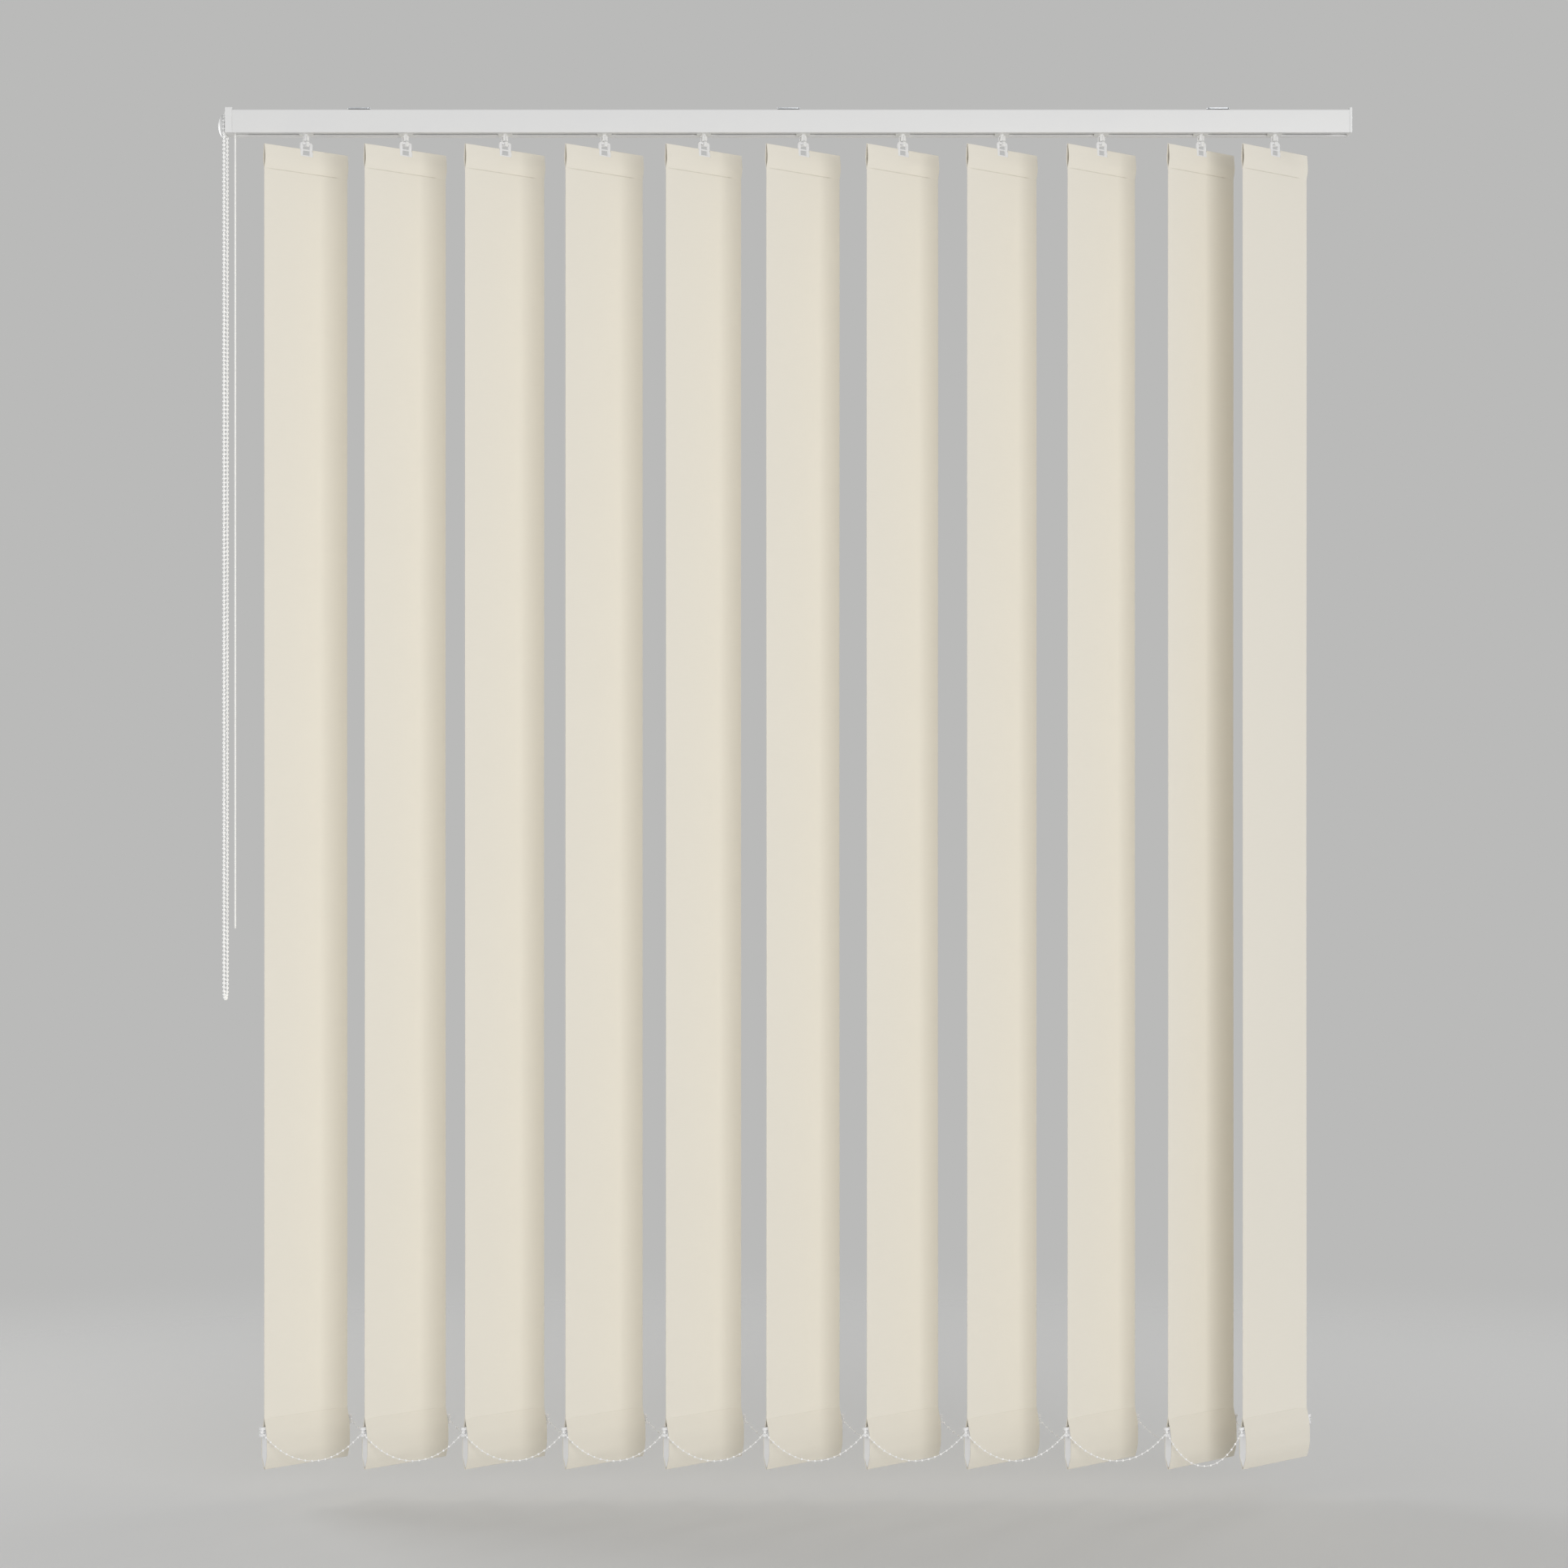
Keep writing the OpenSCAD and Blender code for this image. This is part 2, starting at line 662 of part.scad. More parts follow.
// The two spaces inside the pockets, in the same section
module pocket_insides() {
    inner = pocket_half - fabric_t;
    top_inner = top_pocket_half - fabric_t;
    polygon([
        [0, vane_bottom + fabric_t],
        [inner, weight_bottom + weight_point],
        [inner, weight_top - weight_shoulder],
        [0, bottom_hem - fabric_t],
        [-inner, weight_top - weight_shoulder],
        [-inner, weight_bottom + weight_point]
    ]);
    polygon([
        [0, top_hem + fabric_t],
        [top_inner, top_hem + hem_taper + fabric_t],
        [top_inner, vane_top - top_pocket_half],
        [0, vane_top - fabric_t],
        [-top_inner, vane_top - top_pocket_half],
        [-top_inner, top_hem + hem_taper + fabric_t]
    ]);
}

// Vane i: one strip of fabric, folded and welded into a pocket at each end, with a notch for the tab
module vane(i) {
    color(cream)
        at_hook(i)
            difference() {
                along_x(vane_width)
                    difference() {
                        fabric_outline();
                        pocket_insides();
                    }
                box([-tab_w / 2 - notch_gap, -vane_width, vane_top - tab_down - notch_gap],
                    [tab_w / 2 + notch_gap, vane_width, vane_top + cut]);
            }
}

// The hanger's outline in its width and height
module hanger_outline() {
    length = vane_width * hanger_length_share;
    plate_top = vane_top - hanger_below_fold;
    window_w = tab_w - 2 * tab_bar;
    tab_bottom = vane_top - tab_down;
    difference() {
        union() {
            round_rect([-length / 2, plate_top - hanger_h], [length / 2, plate_top], hanger_corner_r);
            round_rect([-tab_w / 2, tab_bottom - tab_foot], [tab_w / 2, hanger_top], tab_corner_r);
        }
        translate([-window_w / 2, vane_top]) square([window_w, tab_up - tab_top_bar]);
        translate([-window_w / 2, tab_bottom + tab_foot]) square([window_w, tab_down - tab_foot - cross_bar]);
    }
}

// A spool about Z whose groove lies at z = 0
module spool() {
    core_h = spool_h - 2 * spool_flange;
    for (z = [-spool_h / 2, core_h / 2])
        translate([0, 0, z]) cylinder(r = spool_r, h = spool_flange, $fn = round_fn);
    translate([0, 0, -spool_h / 2]) cylinder(r = spool_core_r, h = spool_h, $fn = round_fn);
}

// The bar in the bottom pocket, with a spool on two arms at each end
module bottom_weight() {
    core_h = spool_h - 2 * spool_flange;
    arm_half = weight_top_t / 2;
    along_x(vane_width - 2 * weight_inset)
        polygon([
            [-weight_tip_t / 2, weight_bottom],
            [weight_tip_t / 2, weight_bottom],
            [weight_t / 2, weight_bottom + weight_point],
            [weight_t / 2, weight_top - weight_shoulder],
            [arm_half, weight_top],
            [-arm_half, weight_top],
            [-weight_t / 2, weight_top - weight_shoulder],
            [-weight_t / 2, weight_bottom + weight_point]
        ]);
    for (side = [0, 1])
        mirror([side, 0, 0]) translate([0, 0, groove_z]) {
            translate([spool_u, 0, 0]) spool();
            for (z = [-spool_h / 2, core_h / 2])
                box([vane_width / 2 - spool_out, -arm_half, z], [spool_u, arm_half, z + spool_flange]);
        }
}

// Hanger and weight of vane i, the two fittings that the fabric's pockets hold
module hanger_and_weight(i) {
    color(plastic_white)
        at_hook(i) {
            along_y(-hanger_t / 2, hanger_t) hanger_outline();
            bottom_weight();
        }
}

// A hanging span: the catenary whose length is given, found by halving, with beads at even steps along it
hyp_sin = function(x) (exp(x) - exp(-x)) / 2;
hyp_cos = function(x) (exp(x) + exp(-x)) / 2;
hyp_arc_sin = function(x) ln(x + sqrt(x * x + 1));
slack_of = function(span, length, low, high, tries)
    let (mid = (low + high) / 2)
        tries == 0 ? mid
        : 2 * mid * hyp_sin(span / 2 / mid) > length
            ? slack_of(span, length, mid, high, tries - 1)
            : slack_of(span, length, low, mid, tries - 1);
halvings = 40;
slack_low_share = 0.05;
slack_high_share = 5;
span_points = function(span, steps)
    let (
        length = steps * chain_bead_pitch,
        a = slack_of(span, length, span * slack_low_share, span * slack_high_share, halvings)
    )
        [for (k = [0 : steps])
            let (x = a * hyp_arc_sin((k * chain_bead_pitch - length / 2) / a))
                [span / 2 + x, a * (hyp_cos(x / a) - hyp_cos(span / 2 / a))]];

// A bead moulded on its own stretch of thread along Z, which reaches back and fore from the bead's middle
module chain_link(back, fore) {
    rotate_extrude($fn = round_fn)
        intersection() {
            union() {
                circle(r = chain_bead_r, $fn = round_fn);
                translate([0, -back]) square([chain_thread_r, back + fore]);
            }
            translate([0, -back]) square([chain_bead_r, back + fore]);
        }
}

// One bottom chain. side is -1 in front of the vanes and 1 behind them
module bottom_chain(side) {
    spool_dx = side * spool_u * cos(vane_angle);
    spool_y = hook_y + side * spool_u * sin(vane_angle);
    to_link = (chain_bead_pitch - link_gap) / 2;
    to_eye = chain_bead_pitch - chain_bead_r - link_gap;
    color(plastic_white) {
        for (i = [1 : vane_count])
            translate([hook_x(i) + spool_dx, spool_y, groove_z]) {
                rotate_extrude($fn = round_fn) translate([ring_r, 0]) circle(r = ring_wire_r, $fn = bead_fn);
                translate([0, side * chain_out, 0]) sphere(r = chain_bead_r, $fn = bead_fn);
            }
        for (i = [1 : vane_count - 1]) {
            steps = i < vane_count - 1 ? span_steps : last_span_steps;
            points = span_points(hook_x(i + 1) - hook_x(i), steps);
            translate([hook_x(i) + spool_dx, spool_y + side * chain_out, groove_z])
                for (k = [1 : steps - 1]) {
                    heading = points[k + 1] - points[k - 1];
                    translate([points[k].x, 0, points[k].y])
                        rotate([0, 90 - atan2(heading.y, heading.x), 0])
                            chain_link(k == 1 ? to_eye : to_link, k == steps - 1 ? to_eye : to_link);
                }
        }
    }
}

headrail();
control_end_cap();
return_end_cap();
mounting_brackets();
tilt_rod();
chain_sprocket();
tilt_chain();
traverse_cord();
rail_cord();
control_pulley(cord_front_y);  // front_control_pulley
control_pulley(cord_back_y);  // back_control_pulley
return_pulley();
bottom_chain(-1);  // front_bottom_chain
bottom_chain(1);  // back_bottom_chain
for (i = [1 : vane_count]) {
    carrier(i);
    hook(i);
    vane(i);
    hanger_and_weight(i);
}
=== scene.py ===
"""Looks of a vertical blind: cream fabric vanes, bead chains, a pull cord and a white headrail.

Metres throughout. X runs along the headrail, Y points away from the room and Z is up. A vane has axes of
its own: u along its width, v through its thickness (towards -v it faces the room) and z up.
"""
import json
import math

import bmesh
import bpy
import numpy as np
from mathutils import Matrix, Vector


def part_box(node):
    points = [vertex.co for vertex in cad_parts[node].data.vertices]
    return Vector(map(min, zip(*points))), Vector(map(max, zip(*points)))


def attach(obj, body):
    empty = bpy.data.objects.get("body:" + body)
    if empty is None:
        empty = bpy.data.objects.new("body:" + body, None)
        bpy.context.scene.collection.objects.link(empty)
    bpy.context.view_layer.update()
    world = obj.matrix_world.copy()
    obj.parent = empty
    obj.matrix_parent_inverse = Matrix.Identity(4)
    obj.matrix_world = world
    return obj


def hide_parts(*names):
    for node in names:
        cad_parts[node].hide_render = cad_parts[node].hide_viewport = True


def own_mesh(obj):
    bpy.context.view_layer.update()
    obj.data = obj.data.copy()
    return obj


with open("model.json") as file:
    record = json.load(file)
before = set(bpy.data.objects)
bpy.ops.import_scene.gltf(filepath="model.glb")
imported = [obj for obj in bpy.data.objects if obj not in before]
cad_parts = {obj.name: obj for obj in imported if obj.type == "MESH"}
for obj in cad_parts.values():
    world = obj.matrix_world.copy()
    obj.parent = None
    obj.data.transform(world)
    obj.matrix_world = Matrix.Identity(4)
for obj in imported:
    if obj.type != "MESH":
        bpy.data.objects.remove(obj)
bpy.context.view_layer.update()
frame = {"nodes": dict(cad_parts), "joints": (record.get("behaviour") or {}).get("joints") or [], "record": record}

MM = 0.001
# A wave texture turns by 20 radians over one unit at scale 1
WAVE_UNIT = 2 * math.pi / 20

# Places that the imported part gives
joint_place = {j["name"]: np.array(j.get("pos_m", (0, 0, 0)), float) for j in frame["joints"]}
vane_numbers = sorted(name[-2:] for name in frame["nodes"] if name.startswith("vane_"))
hook_places = np.array([joint_place[f"tilt_{n}"] for n in vane_numbers])
vane_low, vane_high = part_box(f"vane_{vane_numbers[0]}")
VANE_TOP, VANE_BOTTOM = vane_high.z, vane_low.z
RAIL_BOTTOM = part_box("headrail")[0].z

# Vane: one strip of fabric, folded and welded into a pocket at each end
VANE_ANGLE = math.radians(47.65)
VANE_WIDTH = 127 * MM
FABRIC_T = 0.5 * MM
TOP_POCKET = 28 * MM
BOTTOM_POCKET = 58.5 * MM
TOP_HEM = VANE_TOP - TOP_POCKET
BOTTOM_HEM = VANE_BOTTOM + BOTTOM_POCKET
WELD_FLAP = 2 * MM
# A weld's line stops short of both edges, and further from the back one. Its colour fades over the
# distances inside and past its end, and its pressing over PRESS_FADE. Pairs are for the top weld and the
# bottom one.
WELD_MID = -5 * MM
WELD_END = VANE_WIDTH / 2 - 11 * MM
WELD_FADE_INSIDE = 6 * MM
WELD_FADE_PAST = 5 * MM
WELD_TONES = (0.9, 0.35)
WELD_LINES = (0.9 * MM, 0.6 * MM)
WELD_PRESSES = (0.22 * MM, 0.1 * MM)
WELD_HALF = 0.8 * MM
PRESS_FADE = 4 * MM
# Painted shade: how far the weight's pocket is mixed towards the weld colour, so that it looks darker
POCKET_SHADE = 0.2
FABRIC_LOW = "#E0DBCF"
FABRIC_HIGH = "#E5E0D4"
# The colour of the weld lines, which is also painted part way over the weight's pocket as shade
FABRIC_WELD_AND_SHADE = "#C9C3B5"
FABRIC_THREAD = "#EFEADF"
NOTCH_HALF = 9.6 * MM
NOTCH_DEEP = 8.3 * MM
# The fabric's wave: its height, its length down the vane, its slant and length across, and the shift from
# vane to vane
WAVE_HIGH = 0.35 * MM
WAVE_DOWN = 310 * MM
WAVE_SLANT = 9
WAVE_ACROSS = 40 * MM
WAVE_SHIFT = 2.4
# The grid that a vane is drawn on
VANE_ROW = 24 * MM
VANE_COLUMNS = 24

# Spools at both ends of a vane's weight
SPOOL_OUT = VANE_WIDTH / 2 + 3.4 * MM
SPOOL_Z = joint_place["front_chain_swivel"][2]

# Chains and cord
TILT_BEAD_R = 1.8 * MM
TILT_THREAD_R = 0.5 * MM
TILT_PITCH = 4.74 * MM
POCKETS = 19
RUN_STEPS = 212
DOME_H = 5.2 * MM
DOME_ROUND = 1.7
DOME_RINGS = 13
DOME_SIDES = 64
CHAIN_BEAD_R = 1.3 * MM
CHAIN_THREAD_R = 0.28 * MM
CHAIN_PITCH = 7.66 * MM
SPAN_STEPS = 18
LAST_SPAN_STEPS = 16
RING_R = 2.8 * MM
RING_WIRE_R = 0.5 * MM
CHAIN_OUT = 4.55 * MM
CORD_R = 0.6 * MM
CORD_X = -645.1 * MM
CORD_RUNS_Y = (-8.2 * MM, -3.2 * MM)
CORD_STEP = 2 * MM
CORD_LOOP_Z = -953 * MM
CORD_LOOP_STEPS = 12

# Edges that turn past SHARP are shaded sharp, and on a rigid solid those past EDGE_TURN are rounded
SHARP = math.radians(40)
EDGE_TURN = math.radians(35)
# On a rigid solid, points this close are one, and faces this nearly level are one face
SAME_POINT = 0.002 * MM
SAME_PLANE = math.radians(0.5)


# Meshes


def mesh_object(name, points, faces, uv=None):
    """A mesh object at the origin from an array of points and arrays of faces, each of one number of corners.
    It is smooth but for edges that turn past SHARP. uv holds one pair for each point."""
    mesh = bpy.data.meshes.new(name)
    mesh.from_pydata(points.tolist(), [], [corners for block in faces for corners in block.tolist()])
    if uv is not None:
        corner = np.zeros(len(mesh.loops), np.int32)
        mesh.loops.foreach_get("vertex_index", corner)
        layer = mesh.uv_layers.new(name="UVMap")
        layer.data.foreach_set("uv", np.asarray(uv, np.float32)[corner].ravel())
    mesh.polygons.foreach_set("use_smooth", np.ones(len(mesh.polygons), bool))
    mesh.set_sharp_from_angle(angle=SHARP)
    mesh.update()
    made = bpy.data.objects.new(name, mesh)
    bpy.context.scene.collection.objects.link(made)
    return made


def finished(made):
    """Replaces an object's mesh by what its modifiers make of it."""
    before = made.data
    made.data = bpy.data.meshes.new_from_object(made.evaluated_get(bpy.context.evaluated_depsgraph_get()))
    made.modifiers.clear()
    bpy.data.meshes.remove(before)


def grid_faces(rows, columns, closed_rows=False, closed_columns=False):
    """Quads of a grid whose points are numbered row by row. A closed direction joins its last line to its
    first."""
    i = np.arange(rows if closed_rows else rows - 1)[:, None]
    j = np.arange(columns if closed_columns else columns - 1)[None, :]
    i1, j1 = (i + 1) % rows, (j + 1) % columns
    corners = [i * columns + j, i * columns + j1, i1 * columns + j1, i1 * columns + j]
    return np.stack([c + 0 * (i + j) for c in corners], -1).reshape(-1, 4)


def rounded_path(corners, radii, steps=6):
    """Points of a polyline whose corners are arcs. Each arc touches both sides at radius x tan(half the turn)
    from its corner, and is drawn as a quadratic curve of steps + 1 points between those touching points."""
    corners = np.asarray(corners, float)
    t = np.linspace(0, 1, steps + 1)[:, None]
    points = [corners[:1]]
    for before, at, after, radius in zip(corners, corners[1:], corners[2:], radii):
        a, b = before - at, after - at
        la, lb = np.linalg.norm(a), np.linalg.norm(b)
        turn = math.pi - math.acos(np.clip(a @ b / (la * lb), -1, 1))
        reach = min(radius * math.tan(turn / 2), 0.49 * la, 0.49 * lb)
        start, end = at + a / la * reach, at + b / lb * reach
        points.append((1 - t) ** 2 * start + 2 * t * (1 - t) * at + t**2 * end)
    points.append(corners[-1:])
    return np.concatenate(points)


def along(points):
    """Length along a polyline up to each of its points."""
    return np.concatenate([[0], np.cumsum(np.linalg.norm(np.diff(points, axis=0), axis=1))])


def ball(radius, sides, rings):
    """Points and faces of a ball: circles of latitude between two poles, at even steps of angle."""
    lat = np.linspace(-np.pi / 2, np.pi / 2, rings + 2)[1:-1, None]
    lon = np.linspace(0, 2 * np.pi, sides, endpoint=False)[None, :]
    circles = np.stack([np.cos(lat) * np.cos(lon), np.cos(lat) * np.sin(lon), np.sin(lat) + 0 * lon], -1)
    points = radius * np.concatenate([circles.reshape(-1, 3), [[0, 0, -1], [0, 0, 1]]])
    south, north = rings * sides, rings * sides + 1
    j = np.arange(sides)
    j1 = (j + 1) % sides
    top = (rings - 1) * sides
    below = np.stack([south + 0 * j, j1, j], -1)
    above = np.stack([north + 0 * j, top + j, top + j1], -1)
    return points, [grid_faces(rings, sides, closed_columns=True), below, above]


def tube(path, radius, across, sides, closed=False):
    """Points and faces of a tube about a path that lies in one plane: at each point a circle through the
    plane's normal, across, and the direction square to it and to the path's heading. An open tube has flat
    ends."""
    path = np.asarray(path, float)
    if closed:
        heading = np.roll(path, -1, 0) - np.roll(path, 1, 0)
    else:
        heading = np.gradient(path, axis=0)
    heading /= np.linalg.norm(heading, axis=1, keepdims=True)
    side = np.cross(across, heading)
    a = np.linspace(0, 2 * np.pi, sides, endpoint=False)[None, :, None]
    rings = path[:, None] + radius * (np.cos(a) * side[:, None] + np.sin(a) * np.asarray(across, float))
    faces = [grid_faces(len(path), sides, closed_rows=closed, closed_columns=True)]
    if not closed:
        end = np.arange(sides)
        faces.append(np.stack([end[::-1], end + (len(path) - 1) * sides]))
    return rings.reshape(-1, 3), faces


def joined(shapes):
    """Points and faces of several shapes as one: each shape's faces count on from the points before it."""
    first = np.cumsum([0] + [len(points) for points, _ in shapes])
    faces = [block + k for (_, blocks), k in zip(shapes, first) for block in blocks]
    return np.concatenate([points for points, _ in shapes]), faces


def repeated(shape, centres):
    """Points and faces of a shape copied to each centre."""
    points, faces = shape
    first = np.arange(len(centres))[:, None, None] * len(points)
    copies = (np.asarray(centres)[:, None] + points).reshape(-1, 3)
    return copies, [(block + first).reshape(-1, block.shape[1]) for block in faces]


# Materials


def linear(hex_colour):
    """An sRGB hex colour as linear red, green, blue and alpha."""
    s = np.array([int(hex_colour[k : k + 2], 16) for k in (1, 3, 5)]) / 255
    return (*np.where(s <= 0.04045, s / 12.92, ((s + 0.055) / 1.055) ** 2.4).tolist(), 1)


def add(tree, kind, inputs=None, **settings):
    """Adds a node with its settings. An input given as a socket is linked, any other is set."""
    made = tree.nodes.new(kind)
    for name, value in settings.items():
        setattr(made, name, value)
    for name, value in (inputs or {}).items():
        if isinstance(value, bpy.types.NodeSocket):
            tree.links.new(value, made.inputs[name])
        else:
            made.inputs[name].default_value = value
    return made


def material(name, **values):
    """A new material: its node tree and its shader, whose sockets take the given values."""
    made = bpy.data.materials.new(name)
    made.use_nodes = True
    shader = made.node_tree.nodes["Principled BSDF"]
    for socket, value in values.items():
        shader.inputs[socket.replace("_", " ")].default_value = value
    return made, made.node_tree, shader


def woven_polyester(welds):
    """Plain-woven polyester with a stiffening coat: dull, with fine threads, faint weft slubs and a thin,
    darker line at each weld. The weight's pocket is painted a little darker, as shade. UV is in metres
    across and along the strip, and welds are places along it."""
    made, tree, shader = material("woven_polyester", Roughness=0.85, IOR=1.45, Sheen_Weight=0.08)
    uv = add(tree, "ShaderNodeTexCoord").outputs["UV"]
    # Real threads lie about 0.4 mm apart. They are drawn coarser, so that they show.
    thread = 0.7 * MM
    thread_swerve, thread_detail, thread_tone = 0.4, 40.0, 0.22
    warp, weft = (add(tree, "ShaderNodeTexWave", {"Vector": uv, "Scale": WAVE_UNIT / thread,
                                                  "Distortion": thread_swerve, "Detail Scale": thread_detail},
                      bands_direction=direction) for direction in "XY")
    weave = add(tree, "ShaderNodeMath", {0: warp.outputs["Fac"], 1: weft.outputs["Fac"]}, operation="MAXIMUM")
    slub_length, slub_height, cloud_size, cloud_share = 22 * MM, 1.3 * MM, 150 * MM, 0.4
    stretched = add(tree, "ShaderNodeMapping", {"Vector": uv, "Scale": (1 / slub_length, 1 / slub_height, 1)})
    slub = add(tree, "ShaderNodeTexNoise", {"Vector": stretched.outputs[0], "Scale": 1.0, "Detail": 3.0})
    cloud = add(tree, "ShaderNodeTexNoise", {"Vector": uv, "Scale": 1 / cloud_size, "Detail": 2.0})
    tone = add(tree, "ShaderNodeMix", {"Factor": cloud_share, 2: slub.outputs["Fac"],
                                       3: cloud.outputs["Fac"]})
    yarn = add(tree, "ShaderNodeMix", {"Factor": tone.outputs[0], 6: linear(FABRIC_LOW),
                                       7: linear(FABRIC_HIGH)}, data_type="RGBA")
    crossing = add(tree, "ShaderNodeMapRange", {"Value": weave.outputs[0], "To Min": 0.0,
                                                "To Max": thread_tone})
    yarn = add(tree, "ShaderNodeMix", {"Factor": crossing.outputs[0], 6: yarn.outputs[2],
                                       7: linear(FABRIC_THREAD)}, data_type="RGBA")
    place = add(tree, "ShaderNodeSeparateXYZ", {0: uv}).outputs
    across = add(tree, "ShaderNodeMath", {0: place["X"], 1: WELD_MID}, operation="SUBTRACT")
    across = add(tree, "ShaderNodeMath", {0: across.outputs[0]}, operation="ABSOLUTE")
    inside = add(tree, "ShaderNodeMapRange", {"Value": across.outputs[0],
                                              "From Min": WELD_END - WELD_FADE_INSIDE,
                                              "From Max": WELD_END + WELD_FADE_PAST, "To Min": 1.0,
                                              "To Max": 0.0}, interpolation_type="SMOOTHSTEP")
    patch, patch_least = 14 * MM, 0.55
    uneven = add(tree, "ShaderNodeTexNoise", {"Vector": uv, "Scale": 1 / patch, "Detail": 2.0})
    uneven = add(tree, "ShaderNodeMapRange", {"Value": uneven.outputs["Fac"], "From Min": 0.35,
                                              "From Max": 0.65, "To Min": patch_least, "To Max": 1.0})
    pressed = add(tree, "ShaderNodeMath", {0: inside.outputs[0], 1: uneven.outputs[0]}, operation="MULTIPLY")
    # Painted shade: past the bottom weld, the pocket's colour is mixed a little towards the weld colour
    pocket, pocket_edge = float(welds[1]), 1 * MM
    pocket_shade = add(tree, "ShaderNodeMapRange", {"Value": place["Y"], "From Min": pocket,
                                               "From Max": pocket + pocket_edge, "To Max": POCKET_SHADE})
    colour = add(tree, "ShaderNodeMix", {"Factor": pocket_shade.outputs[0], 6: yarn.outputs[2],
                                         7: linear(FABRIC_WELD_AND_SHADE)}, data_type="RGBA").outputs[2]
    for weld, depth, wide in zip(welds, WELD_TONES, WELD_LINES):
        off = add(tree, "ShaderNodeMath", {0: place["Y"], 1: float(weld)}, operation="SUBTRACT")
        off = add(tree, "ShaderNodeMath", {0: off.outputs[0]}, operation="ABSOLUTE")
        line = add(tree, "ShaderNodeMapRange", {"Value": off.outputs[0], "From Min": wide / 3,
                                                "From Max": wide, "To Min": depth, "To Max": 0.0},
                   interpolation_type="SMOOTHSTEP")
        share = add(tree, "ShaderNodeMath", {0: line.outputs[0], 1: pressed.outputs[0]}, operation="MULTIPLY")
        colour = add(tree, "ShaderNodeMix", {"Factor": share.outputs[0], 6: colour, 7: linear(FABRIC_WELD_AND_SHADE)},
                     data_type="RGBA").outputs[2]
    tree.links.new(colour, shader.inputs["Base Color"])
    slub_share, thread_height = 0.4, 0.12 * MM
    height = add(tree, "ShaderNodeMix", {"Factor": slub_share, 2: weave.outputs[0], 3: slub.outputs["Fac"]})
    bump = add(tree, "ShaderNodeBump", {"Height": height.outputs[0], "Strength": 0.2,
                                        "Distance": thread_height})
    tree.links.new(bump.outputs["Normal"], shader.inputs["Normal"])
    return made


def fine_grain(tree, shader, colour_low, colour_high, grain, strength):
    """Gives a shader a mottled colour and a bump of noise whose grain is the given size. The real grain of a
    mould or a coat is often finer than a tenth of a millimetre, and is drawn coarser, so that it shows."""
    cloud_size, grain_depth = 40 * MM, 0.05 * MM
    place = add(tree, "ShaderNodeTexCoord").outputs["Object"]
    noise = add(tree, "ShaderNodeTexNoise", {"Vector": place, "Scale": 1 / grain, "Detail": 4.0})
    cloud = add(tree, "ShaderNodeTexNoise", {"Vector": place, "Scale": 1 / cloud_size, "Detail": 2.0})
    colour = add(tree, "ShaderNodeMix", {"Factor": cloud.outputs["Fac"], 6: linear(colour_low),
                                         7: linear(colour_high)}, data_type="RGBA")
    tree.links.new(colour.outputs[2], shader.inputs["Base Color"])
    bump = add(tree, "ShaderNodeBump", {"Height": noise.outputs["Fac"], "Strength": strength,
                                        "Distance": grain_depth})
    tree.links.new(bump.outputs["Normal"], shader.inputs["Normal"])


def powder_coated_aluminium():
    """Aluminium extrusion under white powder coat: satin, with a very fine orange-peel."""
    made, tree, shader = material("powder_coated_aluminium", Roughness=0.38, IOR=1.5, Coat_Weight=0.1)
    fine_grain(tree, shader, "#D8D8D8", "#DBDBDA", grain=1.2 * MM, strength=0.12)
    return made


def moulded_abs():
    """Injection-moulded white ABS: satin from the mould's spark-eroded face."""
    made, tree, shader = material("moulded_abs", Roughness=0.45, IOR=1.53)
    fine_grain(tree, shader, "#DADADA", "#DDDDDC", grain=0.6 * MM, strength=0.15)
    return made


def moulded_acetal():
    """Acetal runners: slightly waxy and off-white."""
    made, tree, shader = material("moulded_acetal", Roughness=0.35, IOR=1.48)
    fine_grain(tree, shader, "#DDDDDA", "#E2E2DF", grain=0.8 * MM, strength=0.1)
    return made


def polycarbonate_hook():
    """White polycarbonate hooks: glossy, smooth mouldings."""
    made, tree, shader = material("polycarbonate_hook", Roughness=0.25, IOR=1.58)
    fine_grain(tree, shader, "#E4E4E3", "#E9E9E8", grain=1.5 * MM, strength=0.06)
    return made


def moulded_polypropylene():
    """Polypropylene hangers and weights: pale, a little greyer and duller than the hooks."""
    made, tree, shader = material("moulded_polypropylene", Roughness=0.42, IOR=1.49)
    fine_grain(tree, shader, "#E2E2E3", "#E8E8E8", grain=1.0 * MM, strength=0.1)
    return made


def bead_plastic():
    """Beads moulded on a thread: small, white and glossy."""
    made, tree, shader = material("bead_plastic", Roughness=0.28, IOR=1.5)
    fine_grain(tree, shader, "#F0F0EF", "#F5F5F4", grain=2 * MM, strength=0.05)
    return made


def braided_cord():
    """Braided polyester cord: dull white, with the slanting ridges of its strands."""
    made, tree, shader = material("braided_cord", Roughness=0.7, IOR=1.5, Sheen_Weight=0.1)
    place = add(tree, "ShaderNodeTexCoord").outputs["Object"]
    braid_pitch, braid_height = 1.6 * MM, 0.1 * MM
    strand = add(tree, "ShaderNodeTexWave", {"Vector": place, "Scale": WAVE_UNIT / braid_pitch,
                                             "Distortion": 1.5}, bands_direction="Z")
    colour = add(tree, "ShaderNodeMix", {"Factor": strand.outputs["Fac"], 6: linear("#DDDDDC"),
                                         7: linear("#F2F2F0")}, data_type="RGBA")
    tree.links.new(colour.outputs[2], shader.inputs["Base Color"])
    bump = add(tree, "ShaderNodeBump", {"Height": strand.outputs["Fac"], "Strength": 0.5,
                                        "Distance": braid_height})
    tree.links.new(bump.outputs["Normal"], shader.inputs["Normal"])
    return made


